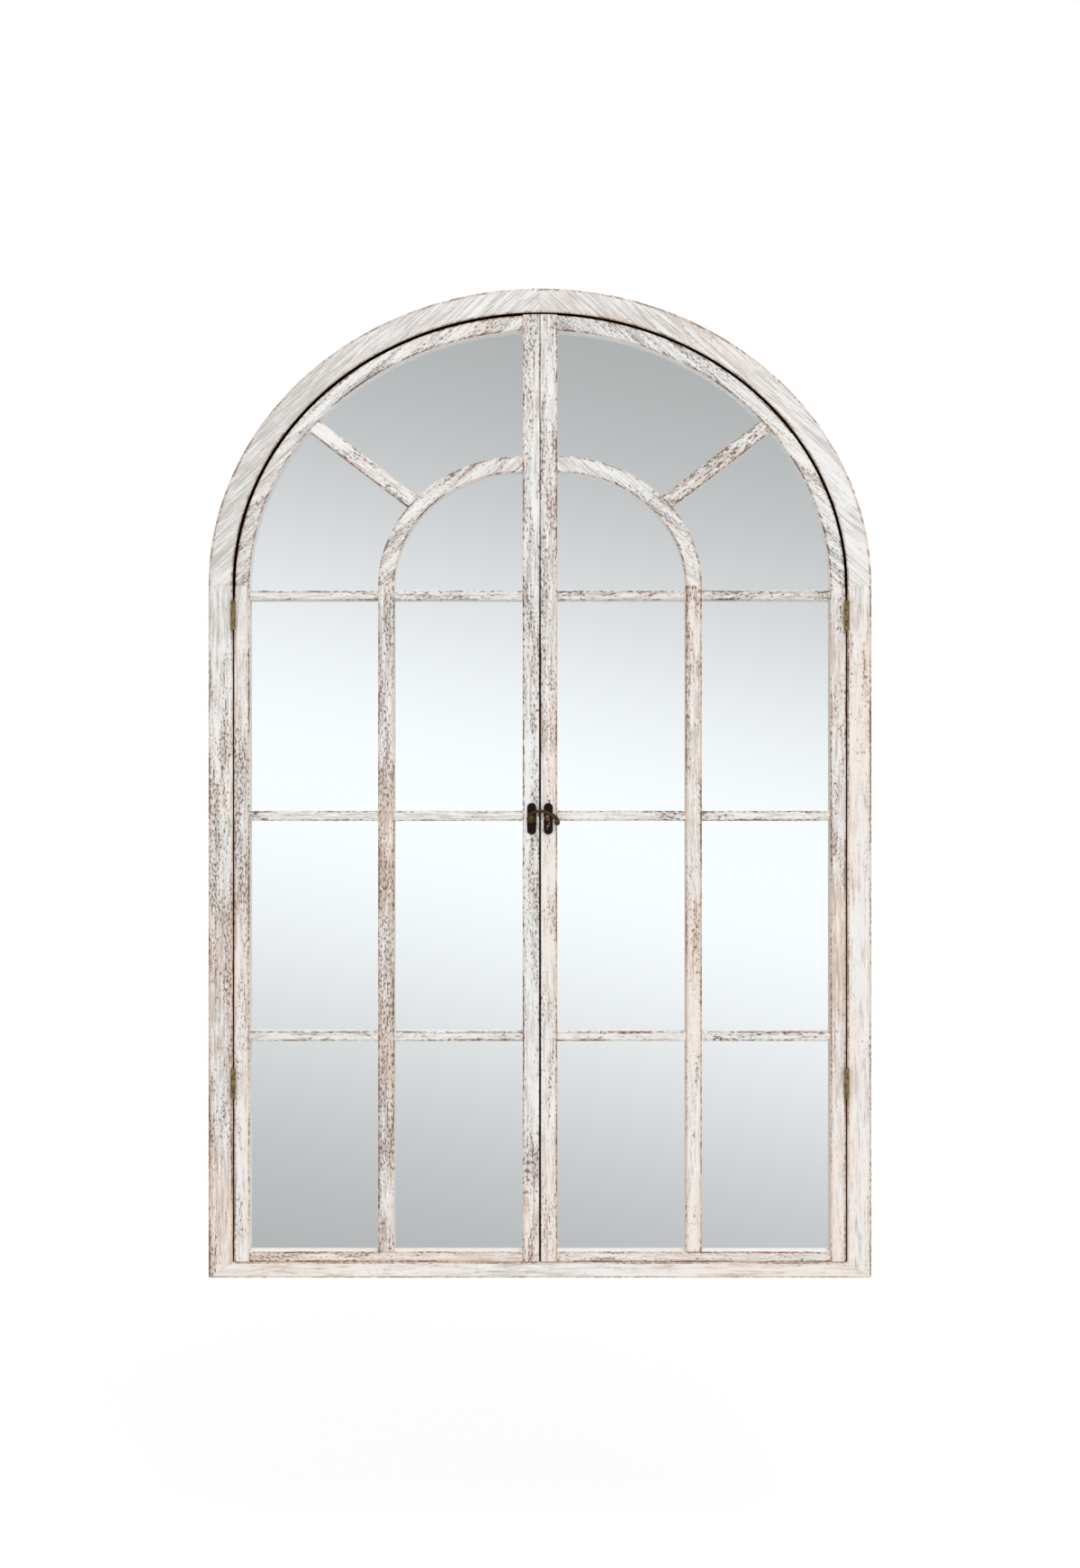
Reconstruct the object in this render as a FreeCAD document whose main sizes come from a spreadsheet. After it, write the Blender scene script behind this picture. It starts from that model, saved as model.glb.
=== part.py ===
import FreeCAD
import Part
import os
import re

# Arched window mirror: a fixed wooden frame with two hinged doors, each a glazed sash with a mirror.
# Millimetres. The front faces -Y, the wall lies at y = 0, and heights in the sheet count from the foot.
# The origin is midway between the entry holes of the two hanger plates, on the wall plane.
SIZES = {
    # Fixed frame
    "width": 608.8,
    "height": 908.3,
    "depth": 30.0,
    "arch_rise": 273.0,
    "stile_width": 22.0,
    "arch_width": 22.0,
    "rail_height": 14.0,
    "corner_round": 2.5,
    "stop_lip": 6.0,
    "stop_clearance": 0.3,
    "frame_dowel_radius": 3.0,
    "frame_dowel_length": 36.0,
    "corner_dowel_cover": 6.0,
    "dowel_clearance": 0.1,
    # Back panel
    "panel_thickness": 3.0,
    "panel_ledge": 8.0,
    "panel_clearance": 0.5,
    "panel_inset": 0.5,
    "panel_screw_radius": 1.2,
    "panel_screw_head": 2.4,
    "panel_screw_sink": 1.4,
    "panel_screw_length": 9.5,
    "panel_screw_angle": 48.0,
    # Hanger plates let into the backs of the stiles
    "hanger_below_spring": 45.3,
    "hanger_inset": 10.0,
    "hanger_width": 16.0,
    "hanger_drop": 22.0,
    "hanger_lift": 30.0,
    "hanger_thickness": 1.5,
    "hanger_clearance": 0.2,
    "hanger_pocket_width": 12.0,
    "hanger_pocket_depth": 8.0,
    "keyhole_radius": 4.25,
    "keyslot_width": 4.8,
    "keyslot_rise": 12.0,
    "hanger_screw_radius": 1.4,
    "hanger_screw_head": 2.8,
    "hanger_screw_sink": 1.3,
    "hanger_screw_length": 12.0,
    "hanger_screw_inset": 7.0,
    # Doors
    "door_thickness": 18.0,
    "door_gap": 2.0,
    "floor_gap": 1.0,
    "meeting_gap": 1.8,
    "door_stile_width": 14.0,
    "door_arch_width": 14.5,
    "meeting_stile_width": 15.0,
    "door_rail_height": 9.2,
    "face_depth": 9.0,
    "rebate_width": 5.0,
    "door_dowel_radius": 2.5,
    "door_dowel_length": 24.0,
    # Mirror and backing board
    "glass_clearance": 0.5,
    "mirror_thickness": 3.0,
    "backing_thickness": 3.0,
    "brad_radius": 0.7,
    "brad_grip": 6.0,
    "brad_reach": 5.0,
    # Glazing bars
    "mullion_width": 15.0,
    "inner_arch_width": 15.0,
    "bar_height": 9.2,
    "bar_setback": 1.0,
    "bar_drop": 9.0,
    "spoke_width": 14.0,
    "spoke_angle": 37.4,
    # Butt hinges
    "hinge_drop": 27.6,
    "hinge_rise": 178.9,
    "hinge_length": 27.0,
    "hinge_proud": 2.4,
    "leaf_depth": 13.0,
    "leaf_thickness": 0.8,
    "knuckle_radius": 2.3,
    "knuckle_gap": 0.3,
    "pin_radius": 1.0,
    "pin_clearance": 0.05,
    "hinge_screw_radius": 1.1,
    "hinge_screw_head": 2.0,
    "hinge_screw_sink": 0.7,
    "hinge_screw_length": 8.0,
    "hinge_screw_spread": 16.0,
    "hinge_screw_inset": 6.0,
    "screw_clearance": 0.05,
    # Hook latch on the meeting stiles
    "latch_drop": 2.6,
    "latch_plate_width": 8.4,
    "latch_plate_length": 28.8,
    "latch_plate_thickness": 1.0,
    "latch_plate_place": 7.6,
    "latch_screw_radius": 0.9,
    "latch_screw_head": 1.8,
    "latch_screw_sink": 0.9,
    "latch_screw_length": 8.0,
    "latch_screw_spread": 20.8,
    "rivet_place": 8.3,
    "rivet_radius": 1.5,
    "rivet_collar": 2.7,
    "rivet_head": 2.85,
    "rivet_dome": 1.4,
    "rivet_depth": 4.0,
    "post_place": 6.6,
    "post_lift": 0.7,
    "post_radius": 2.8,
    "post_length": 2.4,
    "post_dome": 1.0,
    "hook_thickness": 2.0,
    "hook_clearance": 0.3,
    "hook_eye": 3.9,
    "hook_tail": 3.6,
    "hook_back_radius": 20.5,
    "hook_back_run": 9.3,
    "hook_back_drop": 12.3,
    "hook_throat_radius": 19.0,
    "hook_throat_run": 7.6,
    "hook_throat_drop": 13.4,
    "hook_ball_run": 24.0,
    "hook_ball_drop": 3.5,
    "hook_ball_radius": 2.7,
}

# Lines that several pieces share, written in the sizes above
SPRING = "(height - arch_rise)"
HANGER_Z = f"({SPRING} - hanger_below_spring)"
FRONT = "(-depth)"
OPEN_HALF = "(width / 2 - stile_width)"
OPEN_RISE = "(arch_rise - arch_width)"
DOOR_HALF = f"({OPEN_HALF} - door_gap)"
DOOR_RISE = f"({OPEN_RISE} - door_gap)"
DOOR_FOOT = "(rail_height + floor_gap)"
DOOR_BACK = "(door_thickness - depth)"
STOP_FACE = f"({DOOR_BACK} + stop_clearance)"
GLASS_FACE = "(face_depth - depth)"
MEETING_EDGE = "(meeting_gap / 2)"
SIGHT_IN = f"({MEETING_EDGE} + meeting_stile_width)"
SIGHT_OUT = f"({DOOR_HALF} - door_stile_width)"
SIGHT_RISE = f"({DOOR_RISE} - door_arch_width)"
SIGHT_FOOT = f"({DOOR_FOOT} + door_rail_height)"
MULLION_OUT = f"(({SIGHT_OUT} + {SIGHT_IN} + mullion_width) / 2)"
MULLION_IN = f"(({SIGHT_OUT} + {SIGHT_IN} - mullion_width) / 2)"
BAR_PITCH = f"(({SPRING} - bar_drop + bar_height / 2 - {SIGHT_FOOT}) / 3)"
BAR_Z = {
    "upper": f"({SPRING} - bar_drop)",
    "middle": f"({SPRING} - bar_drop - {BAR_PITCH})",
    "lower": f"({SPRING} - bar_drop - 2 * {BAR_PITCH})",
}
BAR_FACE = f"({FRONT} + bar_setback)"
LAP_FACE = f"({FRONT} + face_depth / 2)"
HINGE_X = f"({DOOR_HALF} + door_gap / 2)"
HINGE_Y = f"({FRONT} - hinge_proud)"
HINGE_Z = {"upper": f"({SPRING} - hinge_drop)", "lower": "hinge_rise"}
LATCH_Z = f"({BAR_Z['middle']} - latch_drop)"
PLATE_FACE = f"({FRONT} - latch_plate_thickness)"
HOOK_BACK = f"({PLATE_FACE} - hook_clearance)"
HOOK_FACE = f"({HOOK_BACK} - hook_thickness)"
REACH = "(width + height)"

doc = FreeCAD.newDocument("arched_mirror")
dims = doc.addObject("Spreadsheet::Sheet", "dims")
for row, (alias, value) in enumerate(SIZES.items(), start=1):
    dims.set(f"A{row}", alias)
    dims.set(f"B{row}", str(value))
    dims.setAlias(f"B{row}", alias)
doc.recompute()

AXIS_X = FreeCAD.Vector(1, 0, 0)
AXIS_Y = FreeCAD.Vector(0, 1, 0)
AXIS_Z = FreeCAD.Vector(0, 0, 1)
TURNS = {
    "+x": FreeCAD.Rotation(AXIS_Y, 90),
    "-x": FreeCAD.Rotation(AXIS_Y, -90),
    "+y": FreeCAD.Rotation(AXIS_X, -90),
    "-y": FreeCAD.Rotation(AXIS_X, 90),
    "+z": FreeCAD.Rotation(AXIS_Z, 0),
}
NAME = re.compile(r"[a-z_]+")
nodes = {}


def bind(item, prop, formula):
    """Ties a property to a formula in the sheet's names."""
    text = NAME.sub(lambda word: f"dims.{word[0]}" if word[0] in SIZES else word[0], str(formula))
    item.setExpression(prop, text)


def place(item, x, y, z):
    """Puts an item at a point whose height counts from the foot of the frame."""
    bind(item, "Placement.Base.x", x)
    bind(item, "Placement.Base.y", y)
    bind(item, "Placement.Base.z", f"({z}) - {HANGER_Z}")
    return item


def block(name, x, y, z):
    """A straight piece between two planes in each direction."""
    item = doc.addObject("Part::Box", name)
    for prop, (low, high) in zip(("Length", "Width", "Height"), (x, y, z)):
        bind(item, prop, f"({high}) - ({low})")
    return place(item, x[0], y[0], z[0])


def rod(name, radius, x, y, z, length, along):
    """A round piece that starts at a point and runs along one direction."""
    item = doc.addObject("Part::Cylinder", name)
    bind(item, "Radius", radius)
    bind(item, "Height", length)
    item.Placement = FreeCAD.Placement(FreeCAD.Vector(), TURNS[along])
    return place(item, x, y, z)


def arch(name, half, rise, x, front, back):
    """A whole elliptic disc about a point on the spring line, between two depths."""
    line = doc.addObject("Part::Ellipse", f"{name}_line")
    bind(line, "MajorRadius", f"max({half}; {rise})")
    bind(line, "MinorRadius", f"min({half}; {rise})")
    line.Placement = FreeCAD.Placement(FreeCAD.Vector(), FreeCAD.Rotation(AXIS_Z, 45))
    bind(line, "Placement.Rotation.Angle", f"{half} >= {rise} ? 0 : 90")
    disc = doc.addObject("Part::Extrusion", name)
    disc.Base = line
    disc.DirMode = "Custom"
    disc.Dir = AXIS_Z
    disc.Solid = True
    bind(disc, "LengthFwd", f"({back}) - ({front})")
    disc.Placement = FreeCAD.Placement(FreeCAD.Vector(), TURNS["-y"])
    return place(disc, x, back, SPRING)


def fuse(name, parts):
    """One solid of several that share volume or faces."""
    item = doc.addObject("Part::MultiFuse", name)
    item.Shapes = parts
    item.Refine = True
    return item


def keep(name, base, region):
    """The part of a solid that lies inside a region."""
    item = doc.addObject("Part::Common", name)
    item.Base = base
    item.Tool = region
    return item


def cut(name, base, *tools):
    """A solid with one or more others taken out of it, one after another."""
    for number, tool in enumerate(tools, start=1):
        item = doc.addObject("Part::Cut", name if number == len(tools) else f"{name}_stage_{number}")
        item.Base = base
        item.Tool = tool
        base = item
    return base


def group(name, parts):
    """Several like solids that stay apart."""
    item = doc.addObject("Part::Compound", name)
    item.Links = parts
    return item


def mirror(name, source):
    """The same piece on the other side of the middle plane."""
    item = doc.addObject("Part::Mirroring", name)
    item.Source = source
    item.Base = FreeCAD.Vector()
    item.Normal = AXIS_X
    return item


def oblong(name, x, low, high, wide, front, back):
    """An upright plate with round ends."""
    body = block(
        f"{name}_body",
        (f"({x}) - ({wide}) / 2", f"({x}) + ({wide}) / 2"),
        (front, back),
        (f"({low}) + ({wide}) / 2", f"({high}) - ({wide}) / 2"),
    )
    ends = [
        rod(f"{name}_{end}", f"({wide}) / 2", x, front, z, f"({back}) - ({front})", "+y")
        for end, z in (("foot", f"({low}) + ({wide}) / 2"), ("head", f"({high}) - ({wide}) / 2"))
    ]
    return fuse(name, [body, *ends])


def dome(name, x, z, base, radius, rise):
    """A shallow round cap whose flat side lies at one depth and which rises towards the front."""
    ball = doc.addObject("Part::Sphere", f"{name}_ball")
    size = f"((({radius}) ^ 2 + ({rise}) ^ 2) / (2 * ({rise})))"
    bind(ball, "Radius", size)
    place(ball, x, f"({base}) - ({rise}) + {size}", z)
    room = block(
        f"{name}_room",
        (f"({x}) - ({radius}) - 1", f"({x}) + ({radius}) + 1"),
        (f"({base}) - ({rise}) - 1", base),
        (f"({z}) - ({radius}) - 1", f"({z}) + ({radius}) + 1"),
    )
    return keep(name, ball, room)


def screw(name, kind, x, y, z, along):
    """A countersunk screw, its head flush at a point, and the hole that takes it."""
    made = []
    for suffix, grow in (("", "0"), ("_hole", "screw_clearance")):
        head = doc.addObject("Part::Cone", f"{name}{suffix}_head")
        bind(head, "Radius1", f"{kind}_screw_head + {grow}")
        bind(head, "Radius2", f"{kind}_screw_radius + {grow}")
        bind(head, "Height", f"{kind}_screw_sink")
        head.Placement = FreeCAD.Placement(FreeCAD.Vector(), TURNS[along])
        place(head, x, y, z)
        length = f"{kind}_screw_length + {grow}"
        shank = rod(f"{name}{suffix}_shank", f"{kind}_screw_radius + {grow}", x, y, z, length, along)
        made.append(fuse(f"{name}{suffix}", [head, shank]))
    return made


def dowel(name, radius, length, x, y, z, along):
    """A round dowel that starts at a point, and the hole that takes it."""
    peg = rod(name, radius, x, y, z, length, along)
    hole = rod(f"{name}_hole", f"{radius} + dowel_clearance", x, y, z, length, along)
    return peg, hole


def frame_sheet(name, grow, front, back):
    """The frame's opening grown or shrunk all round, between two depths."""
    half = f"({OPEN_HALF} + ({grow}))"
    rise = f"({OPEN_RISE} + ({grow}))"
    lower = block(
        f"{name}_lower",
        (f"-{half}", half),
        (front, back),
        (f"rail_height - ({grow})", SPRING),
    )
    return fuse(name, [lower, arch(f"{name}_arch", half, rise, "0", front, back)])


def door_sheet(name, grow, front, back):
    """The left door's clear opening grown all round, between two depths."""
    half = f"({SIGHT_OUT} + ({grow}))"
    rise = f"({SIGHT_RISE} + ({grow}))"
    inner = f"({grow} - {SIGHT_IN})"
    lower = block(
        f"{name}_lower",
        (f"-{half}", inner),
        (front, back),
        (f"{SIGHT_FOOT} - ({grow})", SPRING),
    )
    room = block(
        f"{name}_room",
        (f"-{half} - 1", inner),
        (front, back),
        (SPRING, f"{SPRING} + {rise} + 1"),
    )
    upper = keep(f"{name}_upper", arch(f"{name}_arch", half, rise, "0", front, back), room)
    return fuse(name, [lower, upper])


def node(label, item):
    """Names a finished piece."""
    item.Label = label
    nodes[label] = item
    return item


# Fixed frame: an arched ring with a stop for the doors and a rebate for the back panel
outline = fuse(
    "frame_outline",
    [
        block("frame_outline_lower", ("-width / 2", "width / 2"), (FRONT, "0"), ("0", SPRING)),
        arch("frame_outline_arch", "(width / 2)", "arch_rise", "0", FRONT, "0"),
    ],
)
door_room = frame_sheet("door_room", "0", f"{FRONT} - 1", STOP_FACE)
stop_room = frame_sheet("stop_room", "-stop_lip", f"{FRONT} - 1", "1")
panel_room = frame_sheet("panel_room", "panel_ledge - stop_lip", "-panel_thickness - panel_inset", "1")
ring = cut("frame_ring", outline, door_room, stop_room, panel_room)

# Round outer corners at the foot
corner_block = block(
    "corner_block",
    ("-width / 2 - 1", "-width / 2 + corner_round"),
    (f"{FRONT} - 1", "1"),
    ("-1", "corner_round"),
)
corner_rod = rod(
    "corner_rod",
    "corner_round",
    "-width / 2 + corner_round",
    f"{FRONT} - 2",
    "corner_round",
    "depth + 4",
    "+y",
)
corner_left = cut("corner_left", corner_block, corner_rod)
corner_right = mirror("corner_right", corner_left)

# Mitre planes at the foot, from the outer corner to the corner of the opening
mitre_tilt = "atan(rail_height / stile_width)"
mitre_size = "(2 * (stile_width + stop_lip + rail_height))"
mitre_above = doc.addObject("Part::Box", "mitre_above")
mitre_below = doc.addObject("Part::Box", "mitre_below")
for item in (mitre_above, mitre_below):
    bind(item, "Length", mitre_size)
    bind(item, "Width", "depth + 2")
    bind(item, "Height", mitre_size)
    item.Placement = FreeCAD.Placement(FreeCAD.Vector(), FreeCAD.Rotation(AXIS_Y, -30))
    bind(item, "Placement.Rotation.Angle", f"-{mitre_tilt}")
place(mitre_above, "-width / 2", f"{FRONT} - 1", "0")
place(
    mitre_below,
    f"-width / 2 + {mitre_size} * sin({mitre_tilt})",
    f"{FRONT} - 1",
    f"-{mitre_size} * cos({mitre_tilt})",
)

# Dowels: across the spring line, through each mitre and across the crown
spring_peg, spring_hole = dowel(
    "spring_dowel",
    "frame_dowel_radius",
    "frame_dowel_length",
    "-width / 2 + stile_width / 2",
    "-depth / 2",
    f"{SPRING} - frame_dowel_length / 2",
    "+z",
)
corner_peg, corner_hole = dowel(
    "corner_dowel",
    "frame_dowel_radius",
    "frame_dowel_length",
    "-width / 2 + corner_dowel_cover",
    "-depth / 2",
    "rail_height / 2",
    "+x",
)
crown_peg, crown_hole = dowel(
    "crown_dowel",
    "frame_dowel_radius",
    "frame_dowel_length",
    "-frame_dowel_length / 2",
    "-depth / 2",
    "height - arch_width / 2",
    "+x",
)
node(
    "frame_dowels",
    group(
        "frame_dowels",
        [
            spring_peg,
            mirror("spring_dowel_right", spring_peg),
            corner_peg,
            mirror("corner_dowel_right", corner_peg),
            crown_peg,
        ],
    ),
)

# Back panel in its rebate, with countersunk screws into the stop
panel_ring = "(panel_ledge / 2 - stop_lip)"
panel_places = [
    ("low", f"-{OPEN_HALF} - {panel_ring}", f"rail_height + ({SPRING} - rail_height) / 6"),
    ("high", f"-{OPEN_HALF} - {panel_ring}", f"{SPRING} - ({SPRING} - rail_height) / 6"),
    ("foot", f"-{OPEN_HALF} / 2", f"rail_height - {panel_ring}"),
    (
        "arch",
        f"-({OPEN_HALF} + {panel_ring}) * cos(panel_screw_angle)",
        f"{SPRING} + ({OPEN_RISE} + {panel_ring}) * sin(panel_screw_angle)",
    ),
]
panel_screws = {
    tag: screw(f"panel_screw_{tag}", "panel", x, "-panel_inset", z, "-y") for tag, x, z in panel_places
}
panel_left_holes = group("panel_left_holes", [hole for _, hole in panel_screws.values()])
panel_right_holes = mirror("panel_right_holes", panel_left_holes)
panel_blank = frame_sheet(
    "panel_blank",
    "panel_ledge - stop_lip - panel_clearance",
    "-panel_thickness - panel_inset",
    "-panel_inset",
)
node("back_panel", cut("back_panel", panel_blank, panel_left_holes, panel_right_holes))
panel_left_screws = group("panel_left_screws", [item for item, _ in panel_screws.values()])
node(
    "back_panel_screws",
    group("back_panel_screws", [panel_left_screws, mirror("panel_right_screws", panel_left_screws)]),
)

# Keyhole hanger plate, flush with the back of the stile over a pocket for the wall screw's head
HANGER_X = "(-width / 2 + hanger_inset)"
HANGER_LOW = f"({HANGER_Z} - hanger_drop)"
HANGER_HIGH = f"({HANGER_Z} + hanger_lift)"
hanger_blank = oblong(
    "hanger_blank", HANGER_X, HANGER_LOW, HANGER_HIGH, "hanger_width", "-hanger_thickness", "0"
)
keyhole = rod(
    "keyhole", "keyhole_radius", HANGER_X, "-hanger_thickness - 1", HANGER_Z, "hanger_thickness + 2", "+y"
)
keyslot = oblong(
    "keyslot",
    HANGER_X,
    f"{HANGER_Z} - keyslot_width / 2",
    f"{HANGER_Z} + keyslot_rise + keyslot_width / 2",
    "keyslot_width",
    "-hanger_thickness - 1",
    "1",
)
hanger_screws = [
    screw("hanger_screw_foot", "hanger", HANGER_X, "0", f"{HANGER_LOW} + hanger_screw_inset", "-y"),
    screw("hanger_screw_head", "hanger", HANGER_X, "0", f"{HANGER_HIGH} - hanger_screw_inset", "-y"),
]
hanger_holes = group("hanger_holes", [hole for _, hole in hanger_screws])
hanger_left = node(
    "hanger_plate_left", cut("hanger_plate_left", hanger_blank, keyhole, keyslot, hanger_holes)
)
node("hanger_plate_right", mirror("hanger_plate_right", hanger_left))
hanger_left_screws = group("hanger_left_screws", [item for item, _ in hanger_screws])
node(
    "hanger_screws",
    group("hanger_screws", [hanger_left_screws, mirror("hanger_right_screws", hanger_left_screws)]),
)
hanger_recess = oblong(
    "hanger_recess",
    HANGER_X,
    f"{HANGER_LOW} - hanger_clearance",
    f"{HANGER_HIGH} + hanger_clearance",
    "hanger_width + 2 * hanger_clearance",
    "-hanger_thickness",
    "1",
)
hanger_pocket = oblong(
    "hanger_pocket",
    HANGER_X,
    f"{HANGER_Z} - hanger_pocket_width / 2",
    f"{HANGER_Z} + keyslot_rise + hanger_pocket_width / 2",
    "hanger_pocket_width",
    "-hanger_thickness - hanger_pocket_depth",
    "1",
)

# Butt hinges: two leaves in the side gap, three knuckles in front of it, one pin
leaves = {}
hinge_pins = []
frame_hinge_screws = []
door_hinge_screws = []
for level in ("upper", "lower"):
    middle = HINGE_Z[level]
    foot = f"{middle} - hinge_length / 2"
    top = f"{middle} + hinge_length / 2"
    third = "hinge_length / 6"
    axis = (f"-{HINGE_X}", HINGE_Y)
    bore = rod(f"{level}_bore", "pin_radius + pin_clearance", *axis, f"{foot} - 1", "hinge_length + 2", "+z")
    hinge_pins.append(rod(f"{level}_pin", "pin_radius", *axis, foot, "hinge_length", "+z"))
    end_length = "hinge_length / 3 - knuckle_gap / 2"
    knuckles = [
        rod(f"{level}_knuckle_foot", "knuckle_radius", *axis, foot, end_length, "+z"),
        rod(
            f"{level}_knuckle_top",
            "knuckle_radius",
            *axis,
            f"{middle} + {third} + knuckle_gap / 2",
            end_length,
            "+z",
        ),
    ]
    middle_length = "hinge_length / 3 - knuckle_gap"
    middle_knuckle = rod(
        f"{level}_knuckle_middle",
        "knuckle_radius",
        *axis,
        f"{middle} - {third} + knuckle_gap / 2",
        middle_length,
        "+z",
    )
    swing = "knuckle_radius + knuckle_gap"
    middle_room = rod(
        f"{level}_room_middle",
        swing,
        *axis,
        f"{middle} - {third} - knuckle_gap / 2",
        "hinge_length / 3 + knuckle_gap",
        "+z",
    )
    end_rooms = [
        rod(
            f"{level}_room_foot",
            swing,
            *axis,
            f"{foot} - 1",
            "hinge_length / 3 + knuckle_gap / 2 + 1",
            "+z",
        ),
        rod(
            f"{level}_room_top",
            swing,
            *axis,
            f"{middle} + {third} - knuckle_gap / 2",
            "hinge_length / 3 + knuckle_gap / 2 + 1",
            "+z",
        ),
    ]
    for owner, side in (("frame", f"-{OPEN_HALF}"), ("door", f"-{DOOR_HALF}")):
        inward = owner == "frame"
        faces = (side, f"{side} + leaf_thickness") if inward else (f"{side} - leaf_thickness", side)
        plate = block(f"{level}_{owner}_plate", faces, (HINGE_Y, f"{FRONT} + leaf_depth"), (foot, top))
        screws = [
            screw(
                f"{level}_{owner}_screw_{end}",
                "hinge",
                faces[1] if inward else faces[0],
                f"{FRONT} + hinge_screw_inset",
                f"{middle} {sign} hinge_screw_spread / 2",
                "-x" if inward else "+x",
            )
            for end, sign in (("foot", "-"), ("head", "+"))
        ]
        holes = group(f"{level}_{owner}_screw_holes", [hole for _, hole in screws])
        if inward:
            open_plate = cut(f"{level}_{owner}_open_plate", plate, middle_room)
            rough = fuse(f"{level}_{owner}_rough_leaf", [open_plate, *knuckles])
            frame_hinge_screws += screws
        else:
            open_plate = cut(f"{level}_{owner}_open_plate", plate, *end_rooms)
            rough = fuse(f"{level}_{owner}_rough_leaf", [open_plate, middle_knuckle])
            door_hinge_screws += screws
        leaves[owner, level] = cut(f"{level}_{owner}_leaf", rough, bore, holes)
for (owner, level), leaf in leaves.items():
    node(f"hinge_leaf_{owner}_left_{level}", leaf)
    node(f"hinge_leaf_{owner}_right_{level}", mirror(f"{level}_{owner}_leaf_right", leaf))
left_pins = group("left_pins", hinge_pins)
node("hinge_pins", group("hinge_pins", [left_pins, mirror("right_pins", left_pins)]))
left_frame_screws = group("left_frame_hinge_screws", [item for item, _ in frame_hinge_screws])
node(
    "hinge_frame_screws",
    group("hinge_frame_screws", [left_frame_screws, mirror("right_frame_hinge_screws", left_frame_screws)]),
)
left_door_screws = group("left_hinge_screws", [item for item, _ in door_hinge_screws])
node("left_hinge_screws", left_door_screws)
node("right_hinge_screws", mirror("right_hinge_screws", left_door_screws))
frame_hinge_holes = group("frame_hinge_holes", [hole for _, hole in frame_hinge_screws])
door_hinge_holes = group("door_hinge_holes", [hole for _, hole in door_hinge_screws])

# Frame members, parted at the crown, the spring line and the mitres
arch_room = block("arch_room", ("-width / 2 - 1", "0"), (f"{FRONT} - 1", "1"), (SPRING, "height + 1"))
arch_left = node(
    "frame_arch_left",
    cut(
        "frame_arch_left",
        keep("frame_arch_blank", ring, arch_room),
        spring_hole,
        crown_hole,
        panel_left_holes,
    ),
)
node("frame_arch_right", mirror("frame_arch_right", arch_left))
stile_room = block(
    "stile_room",
    ("-width / 2 - 1", f"-{OPEN_HALF} + stop_lip + rail_height"),
    (f"{FRONT} - 1", "1"),
    ("0", SPRING),
)
stile_left = node(
    "frame_stile_left",
    cut(
        "frame_stile_left",
        keep("frame_stile_blank", ring, stile_room),
        mitre_below,
        corner_left,
        spring_hole,
        corner_hole,
        hanger_recess,
        hanger_pocket,
        hanger_holes,
        panel_left_holes,
        frame_hinge_holes,
    ),
)
node("frame_stile_right", mirror("frame_stile_right", stile_left))
rail_room = block(
    "rail_room",
    ("-width / 2 - 1", "width / 2 + 1"),
    (f"{FRONT} - 1", "1"),
    ("-1", "rail_height + stop_lip"),
)
node(
    "frame_bottom_rail",
    cut(
        "frame_bottom_rail",
        keep("frame_rail_blank", ring, rail_room),
        mitre_above,
        mirror("mitre_above_right", mitre_above),
        corner_left,
        corner_right,
        corner_hole,
        mirror("corner_hole_right", corner_hole),
        panel_left_holes,
        panel_right_holes,
    ),
)

# Door frame: rebated members round one sheet of mirror
sight = door_sheet("sight", "0", f"{FRONT} - 1", f"{DOOR_BACK} + 1")
pocket = door_sheet("pocket", "rebate_width", GLASS_FACE, f"{DOOR_BACK} + 1")
door_arch = arch("door_arch", DOOR_HALF, DOOR_RISE, "0", FRONT, DOOR_BACK)
PEG_Y = LAP_FACE
pegs = {
    "stile": dowel(
        "door_dowel_stile",
        "door_dowel_radius",
        "door_dowel_length",
        f"-{DOOR_HALF} + door_stile_width / 2",
        PEG_Y,
        f"{SPRING} - door_dowel_length / 2",
        "+z",
    ),
    "crown": dowel(
        "door_dowel_crown",
        "door_dowel_radius",
        "door_dowel_length",
        f"-{SIGHT_IN} - door_dowel_length / 2",
        PEG_Y,
        f"{SPRING} + {DOOR_RISE} - door_arch_width / 2",
        "+x",
    ),
    "outer": dowel(
        "door_dowel_outer",
        "door_dowel_radius",
        "door_dowel_length",
        f"-{SIGHT_OUT} - door_dowel_length / 2",
        PEG_Y,
        f"{DOOR_FOOT} + door_rail_height / 2",
        "+x",
    ),
    "inner": dowel(
        "door_dowel_inner",
        "door_dowel_radius",
        "door_dowel_length",
        f"-{SIGHT_IN} - door_dowel_length / 2",
        PEG_Y,
        f"{DOOR_FOOT} + door_rail_height / 2",
        "+x",
    ),
}

# Brads driven into the stiles behind the backing board
BACKING_BACK = f"({GLASS_FACE} + mirror_thickness + backing_thickness)"
brads = {"outer": [], "inner": []}
for level, share in (("low", "1 / 8"), ("middle", "1 / 2"), ("high", "7 / 8")):
    brad_z = f"{SIGHT_FOOT} + ({SPRING} - {SIGHT_FOOT}) * {share}"
    brad_seat = (f"{BACKING_BACK} + brad_radius", brad_z, "brad_grip + brad_reach")
    outer_start = f"-{SIGHT_OUT} - rebate_width - brad_grip"
    inner_start = f"-{SIGHT_IN} + rebate_width - brad_reach"
    brads["outer"].append(rod(f"brad_outer_{level}", "brad_radius", outer_start, *brad_seat, "+x"))
    brads["inner"].append(rod(f"brad_inner_{level}", "brad_radius", inner_start, *brad_seat, "+x"))
outer_brads = group("outer_brads", brads["outer"])
inner_brads = group("inner_brads", brads["inner"])

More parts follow.
